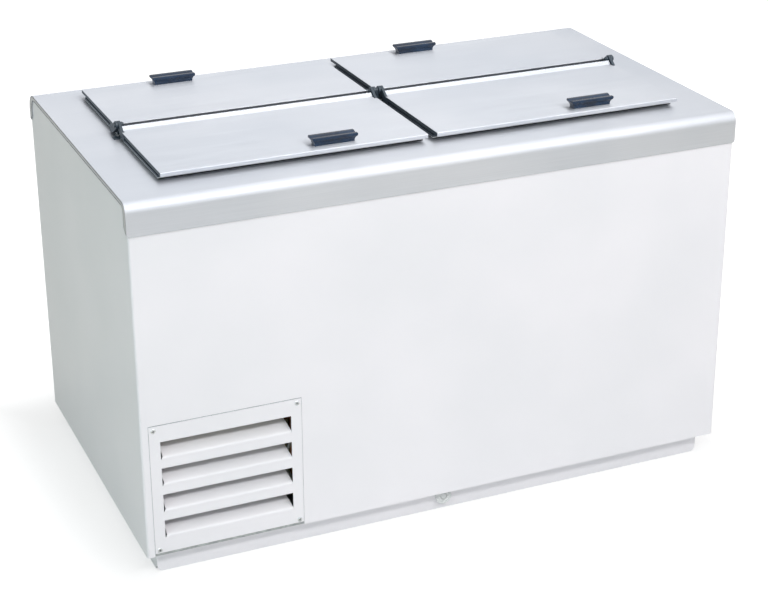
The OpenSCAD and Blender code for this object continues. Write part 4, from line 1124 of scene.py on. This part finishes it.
@dataclass
class PanScrews:
    """Domed screws with a tapered cross recess, and their clinch studs, that replace the plain ones.

    Attributes:
        node: The CAD screws that they replace.
        places: Middle of each head in millimetres, with -1 for the front and 1 for the back.
        front: Radius and height of a head at the front, in millimetres.
        back: Radius and height of a head at the back, in millimetres.
        foot: Height of a head's straight foot, as a share of the head's.
        dome: Each step of the dome, as its radius and its rise in shares of the head's.
        stud: Radius and length of the stud, in millimetres.
        stud_taper: Size of the stud's end over its root.
        cross: Half a slot's length as a share of the head's radius, then half its width and its depth in
            millimetres.
        cross_taper: Length and width at the slot's bottom over those at its top.
        turns: Turn of each slot in degrees.
    """

    node: str = "panel_screws"
    places: tuple[tuple[float, float, int], ...] = FRONT_SCREWS + REAR_SCREWS
    front: tuple[float, float] = (5.0, 1.4)
    back: tuple[float, float] = (4.0, 1.6)
    foot: float = 0.45
    dome: Steps = ((0.97, 0.25), (0.88, 0.2), (0.6, 0.1))
    stud: tuple[float, float] = (1.9, 9.0)
    stud_taper: float = 0.8
    cross: Place = (0.66, 1.1, 3.0)
    cross_taper: tuple[float, float] = (0.45, 0.6)
    turns: tuple[float, ...] = (20.0, 110.0)

    def screw(self, number: int, x: float, z: float, side: int, face: float) -> bpy.types.Object:
        """Models one screw.

        Args:
            number: Its number.
            x: Place across, in metres.
            z: Height, in metres.
            side: -1 for the front and 1 for the back.
            face: Where its head stands, in metres.

        Returns:
            The screw.
        """
        radius, height = (size * MM for size in (self.front if side < 0 else self.back))
        out = Vector((0, side, 0))
        seat = Vector((x, face, z))
        foot = height * self.foot
        bench = Bench.disc(f"screw_{number}", radius, foot, seat + out * foot / 2, (math.pi / 2, 0, 0))
        at = bench.pick(lambda centre, normal: normal.y * side > FACING)
        size = 1.0
        for share, rise in self.dome:
            at = bench.grow(out * rise * height, (share / size, 1, share / size), at)
            size = share
        at = bench.pick(lambda centre, normal: normal.y * side < -FACING)
        share = self.stud[0] * MM / radius
        at = bench.grow((0, 0, 0), (share, 1, share), at)
        bench.grow(-out * self.stud[1] * MM, (self.stud_taper, 1, self.stud_taper), at)
        bench.done()
        half = Vector((self.cross[0] * radius, self.cross[2] * MM, self.cross[1] * MM))
        bottom = (self.cross_taper[0], 1, self.cross_taper[1])
        for turn in self.turns:
            bit = Bench.block("bit", seat - half, seat + half)
            bit.pick(lambda centre, normal: normal.y * side < -FACING)
            bpy.ops.transform.resize(value=bottom, center_override=seat - out * half.y)
            bpy.ops.mesh.select_all(action="SELECT")
            bpy.ops.transform.rotate(value=math.radians(turn), orient_axis="Y", center_override=seat)
            bit.done()
            bench.modify("BOOLEAN", object=bit.piece, operation="DIFFERENCE", solver="EXACT")
            bpy.data.objects.remove(bit.piece)
        bench.smooth(angle=35.0)
        return bench.piece

    def build(self, shop: Workshop) -> bpy.types.Object:
        """Models all the screws and joins them.

        Args:
            shop: Where their material comes from.

        Returns:
            The joined screws.
        """
        low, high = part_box(self.node)
        faces = {-1: low.y + self.front[1] * MM, 1: high.y - self.back[1] * MM}
        screws = [self.screw(number, x * MM, z * MM, side, faces[side])
                  for number, (x, z, side) in enumerate(self.places)]
        only(screws[0])
        for other in screws:
            other.select_set(True)
        bpy.ops.object.join()
        screws[0].name = screws[0].data.name = "cross_recess_screws"
        return keep(screws[0], shop, Slot.bright_steel, "cabinet", self.node)


# Studio


@dataclass
class Lamp:
    """A soft rectangular lamp.

    Attributes:
        name: Its name.
        place: Where it hangs.
        aim: The point that it faces.
        size: Width and height in metres.
        power: Power in watts.
        colour: sRGB colour of its light.
    """

    name: str
    place: Place
    aim: Place
    size: tuple[float, float]
    power: float
    colour: str = "#ffffff"

    def build(self) -> bpy.types.Object:
        """Hangs the lamp.

        Returns:
            The lamp.
        """
        data = bpy.data.lights.new(self.name, "AREA")
        data.shape = "RECTANGLE"
        data.size, data.size_y = self.size
        data.energy = self.power
        data.color = linear(self.colour)[:3]
        lamp = bpy.data.objects.new(self.name, data)
        bpy.context.scene.collection.objects.link(lamp)
        lamp.location = self.place
        lamp.rotation_euler = (Vector(self.aim) - Vector(self.place)).to_track_quat("-Z", "Y").to_euler()
        return lamp


@dataclass
class Studio:
    """Pale floor, pale surroundings and soft lamps.

    Attributes:
        floor_half: Half the floor's width in metres.
        floor_z: Height of the floor, just under the object, in metres.
        floor_colours: The two sRGB colours of the floor's fibres.
        fibre_mm: Width of the fibres' patches.
        half: Half the object's width and depth in metres.
        glow: How much of the floor's brightness, where it is seen, doesn't depend on the lamps.
        mirrored: sRGB colour of that glow as metal and gloss mirror it.
        lit: How much of the lamps' light on it adds to that, so that the shadow stays.
        halo: Distances from the object, in metres, where the paper's own glow starts to grow and is white;
            the weaker glow nearer in is painted shade round the base, on top of the real shadow.
        ambient: Strength of the surroundings' light on the object.
        lamps: The lamps.
    """

    floor_half: float = 14.0
    floor_z: float = -0.0004
    floor_colours: tuple[str, str] = ("#e9ebec", "#eceeee")
    fibre_mm: float = 40.0
    half: tuple[float, float] = (0.65, 0.3725)
    glow: float = 0.62
    mirrored: str = "#959285"
    lit: float = 0.45
    halo: tuple[float, float] = (0.02, 0.3)
    ambient: float = 0.3
    lamps: tuple[Lamp, ...] = (
        Lamp("overhead_softbox", (0.3, -0.9, 3.4), (0.0, 0.0, 0.8), (4.6, 3.4), 50.0),
        Lamp("front_softbox", (1.9, -4.2, 2.0), (0.0, 0.0, 0.45), (4.2, 3.4), 8.0),
        Lamp("high_key", (0.4, -3.5, 3.6), (0.0, -0.3, 0.3), (5.6, 0.5), 102.0),
        Lamp("left_fill", (-4.0, -1.4, 1.6), (-0.2, 0.0, 0.4), (2.0, 2.0), 20.0, "#c0f2ee"),
    )

    def seen(self, tree: bpy.types.NodeTree) -> bpy.types.NodeSocket:
        """One where a ray comes from the camera, a gloss or a glass, and nought elsewhere.

        Args:
            tree: The node tree that takes the nodes.

        Returns:
            The output that holds it.
        """
        path = add(tree, "LightPath")
        first = add(tree, "Math", {0: path.outputs["Is Camera Ray"], 1: path.outputs["Is Glossy Ray"]},
                    operation="MAXIMUM")
        both = add(tree, "Math", {0: first.outputs[0], 1: path.outputs["Is Transmission Ray"]},
                   operation="MAXIMUM")
        return both.outputs[0]

    def floor(self) -> bpy.types.Object:
        """Lays the floor, which looks white where it is lit and keeps the object's shadow, deepened near the
        object by painted shade: its own glow is weaker there.

        Returns:
            The floor.
        """
        bpy.ops.object.select_all(action="DESELECT")
        bpy.ops.mesh.primitive_plane_add(size=2 * self.floor_half, location=(0, 0, self.floor_z))
        floor = bpy.context.active_object
        floor.name = "studio_floor"
        bpy.ops.object.transform_apply(location=True)
        material = bpy.data.materials.new("seamless_paper")
        material.use_nodes = True
        tree = material.node_tree
        tree.nodes.clear()
        place = add(tree, "TexCoord").outputs["Object"]
        fibre = add(tree, "TexNoise", {"Vector": place, "Scale": per_metre(self.fibre_mm), "Detail": 2.0})
        tone = add(tree, "ValToRGB", {"Fac": fibre.outputs["Fac"]},
                   stops=tuple(zip((0.3, 0.7), map(linear, self.floor_colours))))
        paper = add(tree, "BsdfDiffuse", {"Color": tone.outputs["Color"]})
        dim = add(tree, "BsdfDiffuse", {"Color": grey(self.lit)})
        tint = add(tree, "Mix", {0: add(tree, "LightPath").outputs["Is Camera Ray"], 6: linear(self.mirrored),
                                 7: grey(self.glow)}, data_type="RGBA")
        # Painted shade: the paper's own glow is weaker within the halo round the object, which deepens the
        # real shadow there.
        axes = add(tree, "SeparateXYZ", {0: place})
        sides = []
        for axis, half in zip("XY", self.half):
            away = add(tree, "Math", {0: axes.outputs[axis]}, operation="ABSOLUTE")
            sides.append(add(tree, "Math", {0: away.outputs[0], 1: half}, operation="SUBTRACT").outputs[0])
        away = add(tree, "Math", {0: sides[0], 1: sides[1]}, operation="MAXIMUM")
        spread = add(tree, "MapRange", {"Value": away.outputs[0], "From Min": self.halo[0],
                                        "From Max": self.halo[1], "To Min": 1.0, "To Max": 1.0 / self.glow},
                     interpolation_type="SMOOTHSTEP")
        glow = add(tree, "Emission", {"Color": tint.outputs[2], "Strength": spread.outputs["Result"]})
        shown = add(tree, "AddShader", {0: dim.outputs[0], 1: glow.outputs[0]})
        pick = add(tree, "MixShader", {0: self.seen(tree), 1: paper.outputs[0], 2: shown.outputs[0]})
        add(tree, "OutputMaterial", {"Surface": pick.outputs[0]})
        floor.data.materials.append(material)
        return floor

    def surroundings(self) -> None:
        """Makes the world: white where it is seen, and a soft grey light on the object."""
        world = bpy.data.worlds.new("pale_surroundings")
        bpy.context.scene.world = world
        world.use_nodes = True
        tree = world.node_tree
        tree.nodes.clear()
        strength = add(tree, "MapRange", {"Value": self.seen(tree), "To Min": self.ambient, "To Max": 1.0})
        glow = add(tree, "Background", {"Color": grey(1.0), "Strength": strength.outputs["Result"]})
        add(tree, "OutputWorld", {"Surface": glow.outputs[0]})

    def build(self) -> None:
        """Sets up the floor, the surroundings and the lamps."""
        self.floor()
        self.surroundings()
        for lamp in self.lamps:
            lamp.build()
        bpy.context.scene.view_settings.view_transform = "Standard"


@dataclass
class PhotoCamera:
    """The camera at the photograph's viewpoint.

    Attributes:
        place: Its position in metres.
        right: Direction of the picture's right.
        up: Direction of the picture's top.
        back: Direction opposite to its view.
        lens_mm: Focal length.
        film_mm: Width of the film.
        shift: Shift of the picture across and up, as a share of its width.
        far: How far it sees, in metres.
    """

    place: Place = (-1.44802, -3.41731, 1.98866)
    right: Place = (0.920263, -0.391239, -0.006850)
    up: Place = (0.158161, 0.355895, 0.921045)
    back: Place = (-0.357911, -0.848687, 0.389396)
    lens_mm: float = 86.611
    film_mm: float = 36.0
    shift: tuple[float, float] = (0.01419, -0.05169)
    far: float = 100.0

    def build(self) -> bpy.types.Object:
        """Sets up the camera.

        Returns:
            The camera.
        """
        data = bpy.data.cameras.new("photo_camera")
        data.sensor_width = self.film_mm
        data.lens = self.lens_mm
        data.shift_x, data.shift_y = self.shift
        data.clip_end = self.far
        camera = bpy.data.objects.new("photo_camera", data)
        bpy.context.scene.collection.objects.link(camera)
        turn = Matrix((self.right, self.up, self.back)).transposed()
        camera.matrix_world = Matrix.Translation(self.place) @ turn.to_4x4()
        bpy.context.scene.camera = camera
        return camera


def main() -> None:
    """Builds the camera, the studio and each sub-assembly in order."""
    logging.basicConfig(level=logging.INFO, format="%(message)s")
    PhotoCamera().build()
    Studio().build()
    shop = Workshop()
    LOG.info("dressed %d nodes", shop.dress_nodes())
    for name in LIDS:
        PullHandle(name + "_handle", name + "_lid").build(shop)
        LidSeal(name + "_gasket", name + "_lid").build(shop)
        InnerPan(name + "_pan", name + "_lid").build(shop)
    for name in ("left", "middle", "right"):
        SoftFitting(name + "_hinge_bracket", name + "_forged_bracket", round_mm=0.9).build(shop)
    SoftFitting("hinge_pins", "blackened_pins", round_mm=0.8, angle=60.0).build(shop)
    SoftFitting("bracket_screws", "blackened_screws", round_mm=0.3, steps=2, angle=60.0).build(shop)
    Worktop().build(shop)
    FlutedCap("thermostat_knob", "fluted_knob", "knob", Slot.black_plastic, out=1, disc=11.0, bar=7.0,
              stem=3.0, flutes=24).build(shop)
    FlutedCap("drain_cap", "fluted_drain_cap", "cabinet", Slot.light_plastic, out=-1, disc=8.0, bar=0.0,
              stem=6.9, flutes=20).build(shop)
    ServicePanel().build(shop)
    PanScrews().build(shop)


if __name__ == "__main__":
    main()
